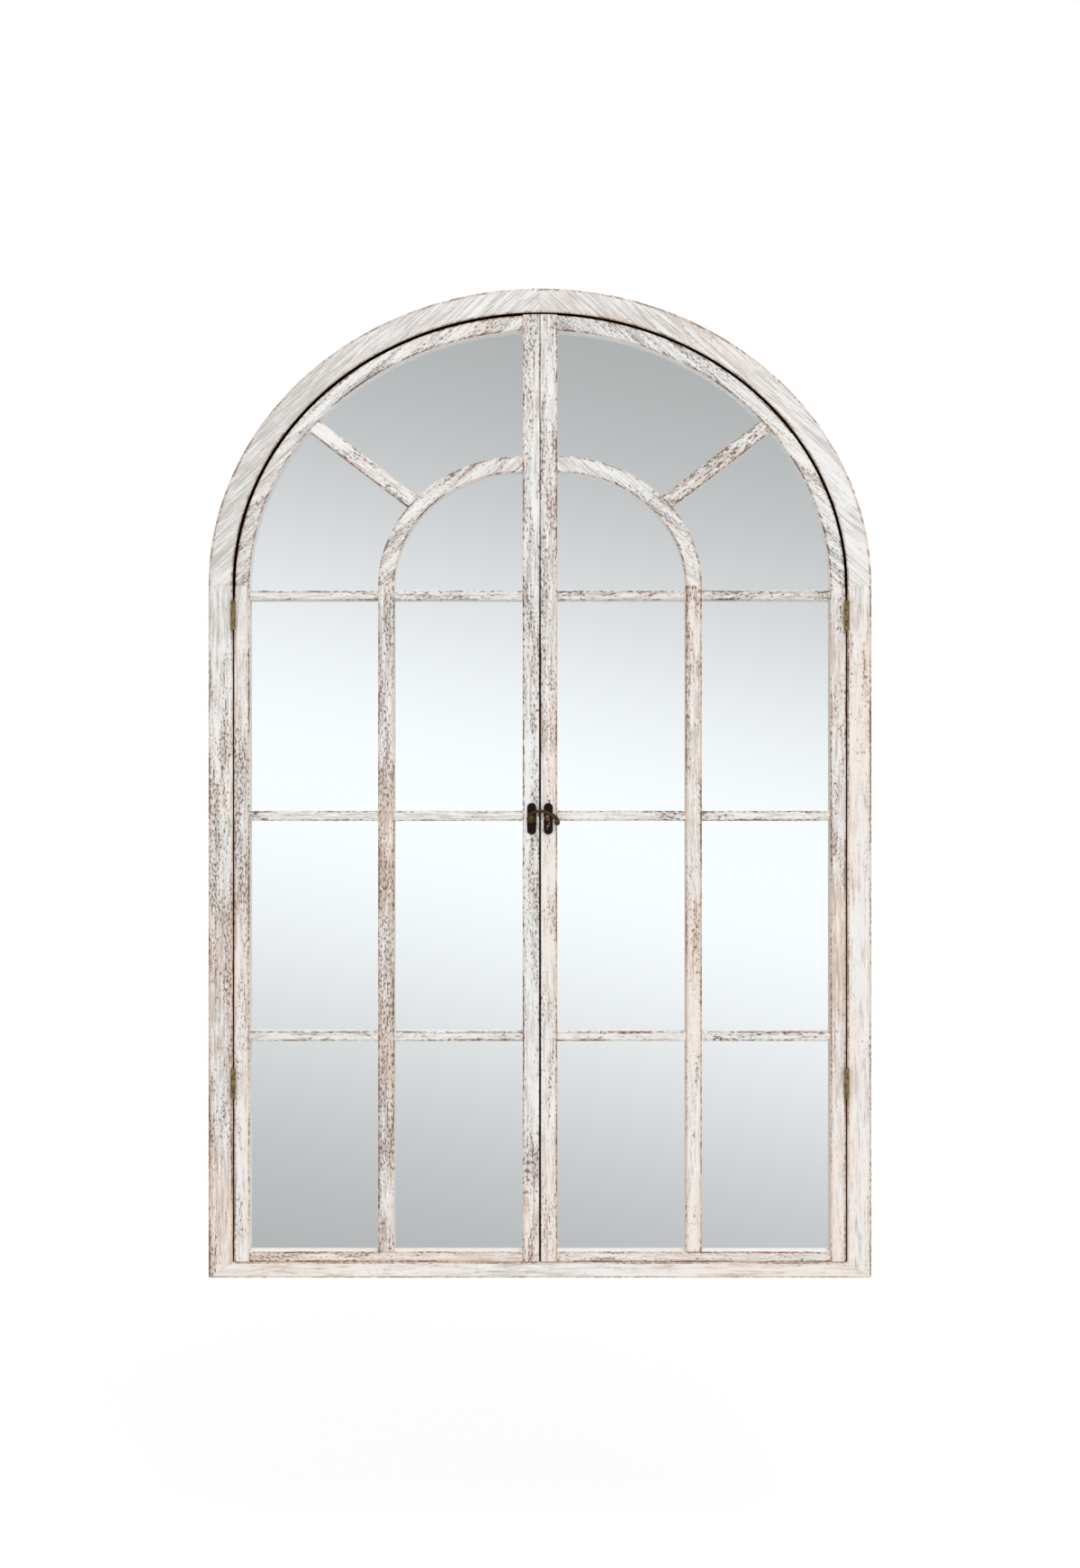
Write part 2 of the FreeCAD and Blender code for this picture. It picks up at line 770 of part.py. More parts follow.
# Latch parts that go into the meeting stiles
LATCH_LOW = f"({LATCH_Z} - latch_plate_length / 2)"
LATCH_HIGH = f"({LATCH_Z} + latch_plate_length / 2)"
latch = {}
for side, sign in (("left", "-"), ("right", "")):
    x = f"({sign}latch_plate_place)"
    blank = oblong(f"{side}_latch_blank", x, LATCH_LOW, LATCH_HIGH, "latch_plate_width", PLATE_FACE, FRONT)
    screws = [
        screw(
            f"{side}_latch_screw_{end}",
            "latch",
            x,
            PLATE_FACE,
            f"{LATCH_Z} {turn} latch_screw_spread / 2",
            "+y",
        )
        for end, turn in (("foot", "-"), ("head", "+"))
    ]
    holes = group(f"{side}_latch_screw_holes", [hole for _, hole in screws])
    pin_x = "(-rivet_place)" if side == "left" else "post_place"
    pin_z = LATCH_Z if side == "left" else f"{LATCH_Z} + post_lift"
    shank_hole = rod(
        f"{side}_latch_pin_hole",
        "rivet_radius + screw_clearance",
        pin_x,
        f"{PLATE_FACE} - 1",
        pin_z,
        "latch_plate_thickness + rivet_depth + 1",
        "+y",
    )
    latch[side] = {
        "plate": cut(f"{side}_latch_plate", blank, holes, shank_hole),
        "screws": group(f"{side}_latch_screws", [item for item, _ in screws]),
        "holes": [holes, shank_hole],
    }

# Left door members
hinge_stile = block(
    "hinge_stile_blank",
    (f"-{DOOR_HALF}", f"-{SIGHT_OUT}"),
    (FRONT, DOOR_BACK),
    (DOOR_FOOT, SPRING),
)
arch_rail_room = block(
    "arch_rail_room",
    (f"-{DOOR_HALF} - 1", f"-{SIGHT_IN}"),
    (FRONT, DOOR_BACK),
    (SPRING, f"{SPRING} + {DOOR_RISE} + 1"),
)
meeting_lower = block(
    "meeting_lower", (f"-{SIGHT_IN}", f"-{MEETING_EDGE}"), (FRONT, DOOR_BACK), (DOOR_FOOT, SPRING)
)
meeting_room = block(
    "meeting_room",
    (f"-{SIGHT_IN}", f"-{MEETING_EDGE}"),
    (FRONT, DOOR_BACK),
    (SPRING, f"{SPRING} + {DOOR_RISE} + 1"),
)
meeting_blank = fuse("meeting_blank", [meeting_lower, keep("meeting_upper", door_arch, meeting_room)])
door_rail = block(
    "door_rail_blank", (f"-{SIGHT_OUT}", f"-{SIGHT_IN}"), (FRONT, DOOR_BACK), (DOOR_FOOT, SIGHT_FOOT)
)
meeting_left = cut(
    "meeting_core", meeting_blank, pocket, pegs["crown"][1], pegs["inner"][1], inner_brads
)
left = {
    "hinge_stile": cut(
        "left_hinge_stile",
        hinge_stile,
        pocket,
        pegs["stile"][1],
        pegs["outer"][1],
        door_hinge_holes,
        outer_brads,
    ),
    "arch_rail": cut(
        "left_arch_rail",
        keep("arch_rail_blank", door_arch, arch_rail_room),
        sight,
        pocket,
        pegs["stile"][1],
        pegs["crown"][1],
    ),
    "bottom_rail": cut("left_bottom_rail", door_rail, pocket, pegs["outer"][1], pegs["inner"][1]),
    "door_dowels": group("left_door_dowels", [peg for peg, _ in pegs.values()]),
    "backing_brads": group("left_backing_brads", [outer_brads, inner_brads]),
}

# Mirror glass and backing board in the rebate
MIRROR_BACK = f"({GLASS_FACE} + mirror_thickness)"
left["mirror"] = door_sheet("left_mirror", "rebate_width - glass_clearance", GLASS_FACE, MIRROR_BACK)
left["backing_board"] = door_sheet(
    "left_backing_board", "rebate_width - glass_clearance", MIRROR_BACK, BACKING_BACK
)

# Glazing bars on the face of the mirror: the mullion laps over three cross bars
bar_laps = []
for level in ("upper", "middle", "lower"):
    heights = (f"{BAR_Z[level]} - bar_height / 2", f"{BAR_Z[level]} + bar_height / 2")
    bar = block(f"bar_{level}_blank", (f"-{SIGHT_OUT}", f"-{SIGHT_IN}"), (BAR_FACE, GLASS_FACE), heights)
    crossing = (f"-{MULLION_OUT}", f"-{MULLION_IN}")
    bar_notch = block(f"bar_{level}_notch", crossing, (f"{FRONT} - 1", LAP_FACE), heights)
    left[f"bar_{level}"] = cut(f"left_bar_{level}", bar, bar_notch)
    bar_laps.append(block(f"mullion_{level}_notch", crossing, (LAP_FACE, GLASS_FACE), heights))
mullion = block(
    "mullion_blank", (f"-{MULLION_OUT}", f"-{MULLION_IN}"), (FRONT, GLASS_FACE), (SIGHT_FOOT, SPRING)
)
left["mullion"] = cut("left_mullion", mullion, *bar_laps)

# Inner arch: a quarter ring in the frame arch's proportion, from the mullion round to the meeting stile
ring_half = f"({MULLION_OUT} - {SIGHT_IN})"
ring_rise = f"({ring_half} * 2 * arch_rise / width)"
ring_outer = arch("inner_arch_outer", ring_half, ring_rise, f"-{SIGHT_IN}", FRONT, GLASS_FACE)
ring_inner = arch(
    "inner_arch_inner",
    f"({ring_half} - mullion_width)",
    f"({ring_rise} - inner_arch_width)",
    f"-{SIGHT_IN}",
    f"{FRONT} - 1",
    f"{GLASS_FACE} + 1",
)
ring_room = block(
    "inner_arch_room",
    (f"-{MULLION_OUT} - 1", f"-{SIGHT_IN}"),
    (FRONT, GLASS_FACE),
    (SPRING, f"{SPRING} + {ring_rise} + 1"),
)
left["inner_arch"] = cut("left_inner_arch", keep("inner_arch_blank", ring_outer, ring_room), ring_inner)

# Spoke: radial from the inner arch's centre, between the inner arch and the arch rail
spoke_bar = doc.addObject("Part::Box", "spoke_bar")
bind(spoke_bar, "Length", REACH)
bind(spoke_bar, "Width", f"{GLASS_FACE} - {BAR_FACE}")
bind(spoke_bar, "Height", "spoke_width")
spoke_bar.Placement = FreeCAD.Placement(FreeCAD.Vector(), FreeCAD.Rotation(AXIS_Y, 200))
bind(spoke_bar, "Placement.Rotation.Angle", "180 + spoke_angle")
place(
    spoke_bar,
    f"-{SIGHT_IN} + spoke_width / 2 * sin(spoke_angle)",
    BAR_FACE,
    f"{SPRING} + spoke_width / 2 * cos(spoke_angle)",
)
spoke_tool = arch(
    "spoke_tool", ring_half, ring_rise, f"-{SIGHT_IN}", f"{FRONT} - 1", f"{GLASS_FACE} + 1"
)
left["spoke"] = cut("left_spoke", keep("spoke_blank", spoke_bar, sight), spoke_tool)

# The right door is the left one turned over; only the meeting stiles differ, at the latch
for name, item in left.items():
    node(f"left_{name}", item)
    node(f"right_{name}", mirror(f"right_{name}", item))
node("left_meeting_stile", cut("left_meeting_stile", meeting_left, *latch["left"]["holes"]))
node(
    "right_meeting_stile",
    cut("right_meeting_stile", mirror("right_meeting_core", meeting_left), *latch["right"]["holes"]),
)

# Latch: base plate, rivet and hook on the left door, catch plate and post on the right one
for side, prefix in (("left", "latch_base"), ("right", "catch")):
    node(f"{prefix}_plate", latch[side]["plate"])
    node(f"{prefix}_screws", latch[side]["screws"])
RIVET_X = "(-rivet_place)"
RIVET_BASE = f"({HOOK_FACE} - hook_clearance)"
rivet_shank = rod(
    "rivet_shank",
    "rivet_radius",
    RIVET_X,
    RIVET_BASE,
    LATCH_Z,
    f"{FRONT} + rivet_depth - {RIVET_BASE}",
    "+y",
)
rivet_collar = rod(
    "rivet_collar_disc", "rivet_collar", RIVET_X, HOOK_BACK, LATCH_Z, "hook_clearance", "+y"
)
rivet_head = dome("rivet_head_cap", RIVET_X, LATCH_Z, RIVET_BASE, "rivet_head", "rivet_dome")
node("latch_rivet", fuse("latch_rivet", [rivet_shank, rivet_collar, rivet_head]))
POST_Z = f"({LATCH_Z} + post_lift)"
POST_END = f"({PLATE_FACE} - post_length)"
post_shank = rod(
    "post_shank",
    "rivet_radius",
    "post_place",
    PLATE_FACE,
    POST_Z,
    "latch_plate_thickness + rivet_depth",
    "+y",
)
post_body = rod("post_body", "post_radius", "post_place", POST_END, POST_Z, "post_length", "+y")
post_cap = dome("post_cap", "post_place", POST_Z, POST_END, "post_radius", "post_dome")
node("catch_post", fuse("catch_post", [post_shank, post_body, post_cap]))
hook_back = rod(
    "hook_back",
    "hook_back_radius",
    f"{RIVET_X} + hook_back_run",
    HOOK_FACE,
    f"{LATCH_Z} - hook_back_drop",
    "hook_thickness",
    "+y",
)
hook_throat = rod(
    "hook_throat",
    "hook_throat_radius",
    f"{RIVET_X} + hook_throat_run",
    f"{HOOK_FACE} - 1",
    f"{LATCH_Z} - hook_throat_drop",
    "hook_thickness + 2",
    "+y",
)
hook_room = block(
    "hook_room",
    (f"{RIVET_X} - hook_tail", f"{RIVET_X} + hook_ball_run + hook_ball_radius / 2"),
    (HOOK_FACE, HOOK_BACK),
    (f"{LATCH_Z} - hook_ball_drop", f"{LATCH_Z} + hook_back_radius"),
)
hook_arm = keep("hook_arm", cut("hook_crescent", hook_back, hook_throat), hook_room)
hook_eye = rod("hook_eye_disc", "hook_eye", RIVET_X, HOOK_FACE, LATCH_Z, "hook_thickness", "+y")
hook_ball = doc.addObject("Part::Sphere", "hook_ball")
bind(hook_ball, "Radius", "hook_ball_radius")
place(
    hook_ball,
    f"{RIVET_X} + hook_ball_run",
    f"{HOOK_BACK} - hook_ball_radius",
    f"{LATCH_Z} - hook_ball_drop",
)
hook_bore = rod(
    "hook_bore",
    "rivet_radius + pin_clearance",
    RIVET_X,
    f"{HOOK_FACE} - 1",
    LATCH_Z,
    "hook_thickness + 2",
    "+y",
)
node("latch_hook", cut("latch_hook", fuse("hook_blank", [hook_arm, hook_eye, hook_ball]), hook_bore))

doc.recompute()
for item in doc.Objects:
    if "Invalid" in item.State or "Error" in item.State:
        raise RuntimeError(f"{item.Name} did not build: {item.State}")
for label, item in nodes.items():
    if item.Shape.isNull() or not item.Shape.isValid() or not item.Shape.Solids:
        raise RuntimeError(f"{label} is not a valid solid")
os.makedirs("parts", exist_ok=True)
for label, item in nodes.items():
    item.Shape.exportStep(f"parts/{label}.step")
    volume = sum(solid.Volume for solid in item.Shape.Solids)
    print(f"{label}: {len(item.Shape.Solids)} solid(s), {volume:.1f} mm3")
print(len(nodes), "pieces")
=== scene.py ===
import math

import bmesh
import bpy
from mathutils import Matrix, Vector, noise


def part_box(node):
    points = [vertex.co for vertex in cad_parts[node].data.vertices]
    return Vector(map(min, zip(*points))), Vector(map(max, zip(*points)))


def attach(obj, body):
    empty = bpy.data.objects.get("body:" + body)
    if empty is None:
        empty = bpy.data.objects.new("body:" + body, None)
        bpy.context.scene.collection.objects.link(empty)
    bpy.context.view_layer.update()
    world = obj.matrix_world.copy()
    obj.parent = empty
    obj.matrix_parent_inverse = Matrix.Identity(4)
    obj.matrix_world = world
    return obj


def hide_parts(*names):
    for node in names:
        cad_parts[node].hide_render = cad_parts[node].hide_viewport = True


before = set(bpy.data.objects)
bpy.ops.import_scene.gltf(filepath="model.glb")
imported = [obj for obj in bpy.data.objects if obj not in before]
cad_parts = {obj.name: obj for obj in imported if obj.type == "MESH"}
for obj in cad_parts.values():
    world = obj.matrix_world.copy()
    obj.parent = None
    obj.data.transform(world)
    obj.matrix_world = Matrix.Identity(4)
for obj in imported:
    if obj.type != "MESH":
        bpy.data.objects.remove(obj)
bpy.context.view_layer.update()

# Fixed frame: two quarter arches, two stiles and a mitred bottom rail of softwood, glued on dowels.
# Thin white paint was brushed on and rubbed back along the grain, so brown streaks and tan arrises
# show through. The back is bare wood, and the edges that face the doors are mostly dark brown, which
# paints the shade deep in the gaps.
MM = 0.001
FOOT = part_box("frame_bottom_rail")[0].z
HANDS = ((-1, "left"), (1, "right"))
WIDTH, HEIGHT, DEPTH, ARCH_RISE = 608.8, 908.3, 30.0, 273.0
FRAME_WIDTH, RAIL_HEIGHT, CORNER_ROUND = 22.0, 14.0, 2.5
SPRING, FRONT = HEIGHT - ARCH_RISE, -DEPTH
OPEN_HALF, OPEN_RISE = WIDTH / 2 - FRAME_WIDTH, ARCH_RISE - FRAME_WIDTH
STOP_LIP, STOP_FACE = 6.0, -11.7
PANEL_LEDGE, PANEL_SEAT = 2.0, -3.5
STATION_STEP, FRAME_ARCH_STEP, RAIL_STEP = 4.0, 0.0135, 0.0135
CORNER_HEIGHTS = [0.0, 0.8, 1.6, 2.4]
CORNER_RUNS, STRAIGHT_RUN = [0.991, 0.994, 0.997, 1.0], 0.985
FACE_FADE, SIDE_FADE, FADE_LIMIT, JOINT_RUB, PAINT_FADE = 2.4, 0.6, 0.49, 0.45, 60.0
BARE_FROM, PAINTED_RIM = FRONT + 1.5, FRAME_WIDTH - 1.0
# How far a surface is unpainted: a half is bare wood, and above that it turns dark brown, which paints the
# shade deep in the gaps.
BARE, MOSTLY_SHADED_BROWN, SHADED_BROWN = 0.5, 0.9, 1.0
EDGE_LEAN, WIDENS_FROM = 0.45, 614.0
OUTER_EASE, INNER_EASE, BACK_EASE, EASE_TURNS = 1.4, 0.6, 0.8, (0, 30, 60, 90)
FULL_RUB, BACK_RUB = 0.9, 0.6
WORN_DEPTH, WORN_PITCH = 0.12, 0.06
DENT_DEPTH, DENT_FROM, DENT_PITCH, DENT_SHIFT = 0.9, 0.28, 0.21, Vector((3.7, 9.1, 1.3))
SHARP_FROM = math.radians(38)
GRAIN_SHIFT, KNOCK_SHIFT = 1.37, 54.8
ARCH_CHORD, ARCH_FINENESS = Vector((-WIDTH / 2, ARCH_RISE)).normalized(), 1.7
# An age gives, at heights up from the foot, how worn, how warm and how thick the paint is.
FRAME_STILE_AGE = {
    "left": [
        (160, 0.38, 0.9, 0.54), (280, 0.68, 0.9, 0.47), (485, 0.46, 0.15, 0.64),
        (SPRING, 0.15, 0.1, 0.45),
    ],
    "right": [(400, 0.26, 0.65, 0.66), (570, 0.4, 0.8, 0.61), (SPRING, 0.15, 0.2, 0.56)],
}
FRAME_ARCH_AGE = {
    "left": [(715, 0.1, 0.12, 0.43), (815, 0.12, 0.15, 0.36), (885, 0.06, 0.05, 0.53)],
    "right": [(835, 0.12, 0.15, 0.58), (878, 0.3, 0.45, 0.4), (897, 0.08, 0.08, 0.5)],
}
FRAME_RAIL_AGE = [(0, 0.15, 0.55, 0.61)]


class Wire:
    """A value, colour or vector on its way through a material's nodes."""

    def __init__(self, tree, socket=None):
        self.tree = tree
        self.socket = socket

    def add(self, kind, settings, inputs, output=0):
        """A node of any type: its settings first, then the values or wires of its sockets."""
        made = self.tree.nodes.new(kind)
        for name, value in settings.items():
            setattr(made, name, value)
        for name, value in inputs.items():
            if isinstance(value, Wire):
                self.tree.links.new(value.socket, made.inputs[name])
            else:
                made.inputs[name].default_value = value
        return Wire(self.tree, made.outputs[output])

    def sum_of(self, operation, first, second):
        """What a Math node makes of two values."""
        return self.add("ShaderNodeMath", {"operation": operation}, {0: first, 1: second})

    def __add__(self, other):
        return self.sum_of("ADD", self, other)

    def __radd__(self, other):
        return self.sum_of("ADD", other, self)

    def __sub__(self, other):
        return self.sum_of("SUBTRACT", self, other)

    def __rsub__(self, other):
        return self.sum_of("SUBTRACT", other, self)

    def __mul__(self, other):
        return self.sum_of("MULTIPLY", self, other)

    def __rmul__(self, other):
        return self.sum_of("MULTIPLY", other, self)

    def __rpow__(self, other):
        return self.sum_of("POWER", other, self)

    def ease(self, low, high):
        """0 below one level and 1 above another, with a soft step between them."""
        settings = {"interpolation_type": "SMOOTHSTEP"}
        return self.add("ShaderNodeMapRange", settings, {"Value": self, "From Min": low, "From Max": high})

    def layer(self, under, over):
        """The colour under a mask, with another colour over it where the mask is 1."""
        return self.add("ShaderNodeMix", {"data_type": "RGBA"}, {0: self, 6: under, 7: over}, 2)

    def scaled(self, x, y, z):
        """A vector stretched by a number along each of its directions."""
        return self.add("ShaderNodeVectorMath", {"operation": "MULTIPLY"}, {0: self, 1: (x, y, z)})

    def grains(self, scale, detail=2.0, rough=0.5):
        """Cloudy noise at a vector, about 0.5 in the middle of its range."""
        inputs = {"Vector": self, "Scale": scale, "Detail": detail, "Roughness": rough}
        return self.add("ShaderNodeTexNoise", {}, inputs, "Fac")

    def given(self, name, output="Fac"):
        """What a piece's mesh carries at its points under a name."""
        return self.add("ShaderNodeAttribute", {"attribute_name": name}, {}, output)

    def spot(self):
        """The place on a piece, in metres."""
        return self.add("ShaderNodeTexCoord", {}, {}, "Object")

    def relief(self, strength, depth):
        """The lean of a surface that stands as high as a value says, for a shader's Normal."""
        inputs = {"Strength": strength, "Distance": depth, "Height": self}
        return self.add("ShaderNodeBump", {}, inputs, "Normal")


def tone(red, green, blue):
    """A colour given in screen levels from 0 to 255, as the linear values that a shader takes."""
    parts = [value / 255 for value in (red, green, blue)]
    light = [part / 12.92 if part <= 0.04045 else ((part + 0.055) / 1.055) ** 2.4 for part in parts]
    return (*light, 1.0)


def finish(name):
    """A new material, the start of its wires and its shader."""
    material = bpy.data.materials.new(name)
    material.use_nodes = True
    tree = material.node_tree
    return material, Wire(tree), tree.nodes["Principled BSDF"]


def feed(shader, sockets):
    """Sets or links the shader's sockets."""
    for name, value in sockets.items():
        if isinstance(value, Wire):
            value.tree.links.new(value.socket, shader.inputs[name])
        else:
            shader.inputs[name].default_value = value


def rubbed_whitewash():
    """White paint over brown wood, worn in streaks along the grain and along the arrises."""
    material, start, shader = finish("rubbed_whitewash")
    thin_grey, thin_tan = tone(217, 215, 212), tone(224, 202, 185)
    brushed_grey, brushed_tan = tone(174, 169, 164), tone(178, 156, 142)
    thick_white, thick_cream = tone(240, 240, 239), tone(241, 229, 219)
    rubbed_grey, rubbed_tan = tone(160, 155, 152), tone(178, 144, 121)
    arris_tan, arris_brown = tone(214, 184, 158), tone(126, 94, 74)
    grey_pore, brown_pore = tone(98, 92, 89), tone(120, 90, 72)
    early_wood, late_wood, wood_pore = tone(214, 173, 138), tone(180, 136, 101), tone(128, 92, 66)
    # Painted shade: a teal-grey line where wood meets the glass, and dark browns for the shade deep in the
    # gaps.
    painted_seam_shade, dark_brown_shade, pale_brown_shade = tone(138, 156, 150), tone(50, 34, 25), tone(72, 51, 38)

    # Noise drawn out along the grain, from broad washes down to fibres and specks
    grain = start.given("grain", "Vector")
    wash = grain.scaled(7.0, 26.0, 26.0).grains(1.0, 3.0, 0.55).ease(0.38, 0.62)
    zone = grain.scaled(13.0, 45.0, 45.0).grains(1.0, 3.0, 0.6)
    patch = grain.scaled(38.0, 130.0, 130.0).grains(1.0, 4.0, 0.65)
    band = grain.scaled(16.0, 140.0, 140.0).grains(1.0, 3.0, 0.55)
    streak = grain.scaled(40.0, 500.0, 450.0).grains(1.0, 4.0, 0.6)
    fibre = grain.scaled(70.0, 1900.0, 1700.0).grains(1.0, 2.0, 0.6)
    speck = grain.scaled(260.0, 640.0, 600.0).grains(1.0, 3.0, 0.6)

    # Thin paint with brush marks, and white paint where it is thick
    warmth, cover = start.given("warmth"), start.given("cover")
    warm = warmth * (0.25 + 0.85 * wash)
    browner = 0.08 + 0.35 * wash + 0.57 * warmth
    thin = (streak * 0.75 + fibre * 0.25).ease(0.38, 0.62)
    brushed = browner.layer(brushed_grey, brushed_tan)
    coat = (thin * 0.6).layer(warm.layer(thin_grey, thin_tan), brushed)
    # Where the paint is thick it is whitest; behind the arrises it is full, which also paints the light on
    # the sight walls.
    thick = (patch * 0.18 + zone * 0.2 - streak * 0.48 - speck * 0.15 + cover * 0.4).ease(-0.01, 0.17)
    paint = thick.layer(coat, warm.layer(thick_white, thick_cream))

    # Worn patches, arrises rubbed to the wood in places, and open pores
    rub, wear = start.given("rub"), start.given("wear")
    worn = (band * 0.5 + zone * 0.5 + speck * 0.35 + wear * 0.4).ease(0.82, 1.0)
    rubbed = browner.layer(rubbed_grey, rubbed_tan)
    paint = (worn * (0.25 + 0.45 * thin)).layer(paint, rubbed)
    paint = (rub.ease(0.05, 0.9) * (0.18 + 0.52 * warmth)).layer(paint, arris_tan)
    edge = rub.ease(0.45, 0.9) * (band * 0.4 + zone * 0.2 + speck * 0.4).ease(0.47, 0.55)
    paint = (edge * 0.85).layer(paint, arris_brown)
    pores = (speck + 0.17 * worn + 0.03 * edge).ease(0.675, 0.735)
    paint = (pores * 0.85).layer(paint, browner.layer(grey_pore, brown_pore))

    # Bare wood where there is no paint, a painted shade line where wood meets the glass, and dark brown
    # over the bare wood on the gap edges, which paints the shade deep in the gaps
    bare_and_shade, seam_shade = start.given("bare_and_shade"), start.given("seam_shade")
    ring = (streak * 0.45 + band * 0.55).ease(0.38, 0.62)
    bare = (pores * 0.5).layer(ring.layer(early_wood, late_wood), wood_pore)
    paint = bare_and_shade.ease(0.0, 0.5).layer(seam_shade.layer(paint, painted_seam_shade), bare)
    brown_shade = fibre.layer(dark_brown_shade, pale_brown_shade)
    height = thick * 0.4 - thin * 0.2 - worn * 0.2 - pores * 0.6 + fibre * 0.2
    feed(shader, {
        "Base Color": bare_and_shade.ease(0.5, 1.0).layer(paint, brown_shade),
        "Roughness": 0.6 + worn * 0.14 + pores * 0.12,
        "Specular IOR Level": 0.32,
        "Normal": height.relief(0.5, 0.0003),
    })
    return material


def softened(corners, skin):
    """A member's section: its arrises eased, with points beside them where the rubbing fades out.

    Each point has its place, the way into the wood, how rubbed it is, how far it is unpainted (above a
    half, dark brown that paints the shade deep in the gaps), how dark the painted shade line at the glass
    is there, and how far it is out of reach of the rubbing, where the paint is thick and unworn, which also
    paints the light on the sight walls."""
    points = []
    for number, (across, depth, radius, rub) in enumerate(corners):
        here = Vector((across, depth))
        back = Vector(corners[number - 1][:2]) - here
        onward = Vector(corners[(number + 1) % len(corners)][:2]) - here
        if not radius:
            points.append((across, depth, 0.0, 0.0, 0.0, *skin(across, depth)))
            continue
        before, after = (
            here + way * min(((SIDE_FADE if way.y else FACE_FADE) + radius) / way.length, FADE_LIMIT)
            for way in (back, onward)
        )
        back.normalize()
        onward.normalize()
        centre = here + (back + onward) * radius
        points.append((*before, 0.0, 0.0, 0.0, *skin(*before)))
        for turn in map(math.radians, EASE_TURNS):
            swing = onward * math.cos(turn) + back * math.sin(turn)
            points.append((*(centre - swing * radius), *swing, rub, 0.0, 0.0, 0.0))
        points.append((*after, 0.0, 0.0, 0.0, *skin(*after)))
    return points


def knock(place):
    """How deep a rubbed arris is worn or knocked at a place, in millimetres."""
    worn = WORN_DEPTH * (1 + noise.noise(place * WORN_PITCH))
    dent = noise.noise(place * DENT_PITCH + DENT_SHIFT)
    return worn + DENT_DEPTH * max(0.0, dent - DENT_FROM)


def aged(stops, z):
    """How worn, how warm and how thick a member's paint is at a height, between the stops of its age."""
    below, above = stops[0], stops[-1]
    for stop in stops:
        if stop[0] <= z:
            below = stop
    for stop in reversed(stops):
        if stop[0] >= z:
            above = stop
    share = (z - below[0]) / (above[0] - below[0]) if below[0] < z < above[0] else 0.0
    return [low + (high - low) * share for low, high in zip(below[1:], above[1:])]


def ramp(value, low, high):
    """0 below one measure and 1 above another, rising evenly between them."""
    return min(max((value - low) / (high - low), 0.0), 1.0)


def placed(name, data):
    """A new object in the scene."""
    item = bpy.data.objects.new(name, data)
    bpy.context.scene.collection.objects.link(item)
    return item


def board(node, side, section, stations, grain, age, body, painted_from=None):
    """A member drawn through its stations, in place of its solid; side is -1 for left and 1 for right.

    Its points carry the marks that the paint follows. Above painted_from, its outer edge is painted
    too."""
    mesh = bpy.data.meshes.new(f"painted_{node}")
    number_made = len(bpy.data.meshes)
    shape = bmesh.new()
    marks = {"grain": [], "rub": [], "bare_and_shade": [], "seam_shade": [], "wear": [], "warmth": [], "cover": []}
    rings = []
    for number, station in enumerate(stations):
        joint = JOINT_RUB if number in (0, len(stations) - 1) else 0.0
        ring = []
        for across, depth, into_across, into_depth, rub, bare_and_shade, seam_shade, fresh_and_lit in section:
            place = Vector(station(across, depth))
            if rub:
                deep = rub * knock(place + Vector((0, 0, KNOCK_SHIFT * number_made)))
                place = Vector(station(across + into_across * deep, depth + into_depth * deep))
            if painted_from:
                bare_and_shade *= 1 - ramp(place.z, painted_from, painted_from + PAINT_FADE)
            along, aside = grain(place.x, place.z)
            wear, warmth, cover = aged(age, place.z)
            marks["grain"] += [along * MM + GRAIN_SHIFT * number_made, aside * MM, place.y * MM]
            marks["rub"].append(max(rub, joint))
            marks["bare_and_shade"].append(bare_and_shade)
            marks["seam_shade"].append(seam_shade)
            # Behind the arris the paint is unworn and thick, which also paints the light on the sight
            # walls.
            marks["wear"].append(wear * (1 - fresh_and_lit))
            marks["warmth"].append(warmth)
            marks["cover"].append(cover + (1 - cover) * fresh_and_lit)
            ring.append(shape.verts.new((side * place.x * MM, place.y * MM, FOOT + place.z * MM)))
        rings.append(ring)
    for one, two in zip(rings, rings[1:]):
        for index in range(len(section)):
            shape.faces.new((one[index - 1], one[index], two[index], two[index - 1]))
    shape.faces.new(rings[0])
    shape.faces.new(rings[-1])
    bmesh.ops.recalc_face_normals(shape, faces=shape.faces)
    shape.to_mesh(mesh)
    shape.free()
    for name, values in marks.items():
        kind, key = ("FLOAT_VECTOR", "vector") if name == "grain" else ("FLOAT", "value")
        mesh.attributes.new(name, kind, "POINT").data.foreach_set(key, values)
    mesh.shade_smooth()
    mesh.set_sharp_from_angle(angle=SHARP_FROM)
    mesh.materials.append(whitewash)
    piece = placed(f"painted_{node}", mesh)
    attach(piece, body)
    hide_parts(node)


def steps(start, end, pitch=STATION_STEP):
    """Even steps from one measure to another."""
    count = max(2, round(abs(end - start) / pitch))
    return [start + (end - start) * number / count for number in range(count + 1)]


def upright(x, z):
    """Grain that runs up a member, as the measure along it and the measure beside."""
    return z, x


def level(x, z):
    """Grain that runs across."""
    return x, z


def chord(x, z):
    """Fine grain along the straight line from the foot of an arch to its crown."""
    aside = ARCH_CHORD.y * x - ARCH_CHORD.x * z
    return ARCH_CHORD.x * x + ARCH_CHORD.y * z, aside * ARCH_FINENESS


whitewash = rubbed_whitewash()


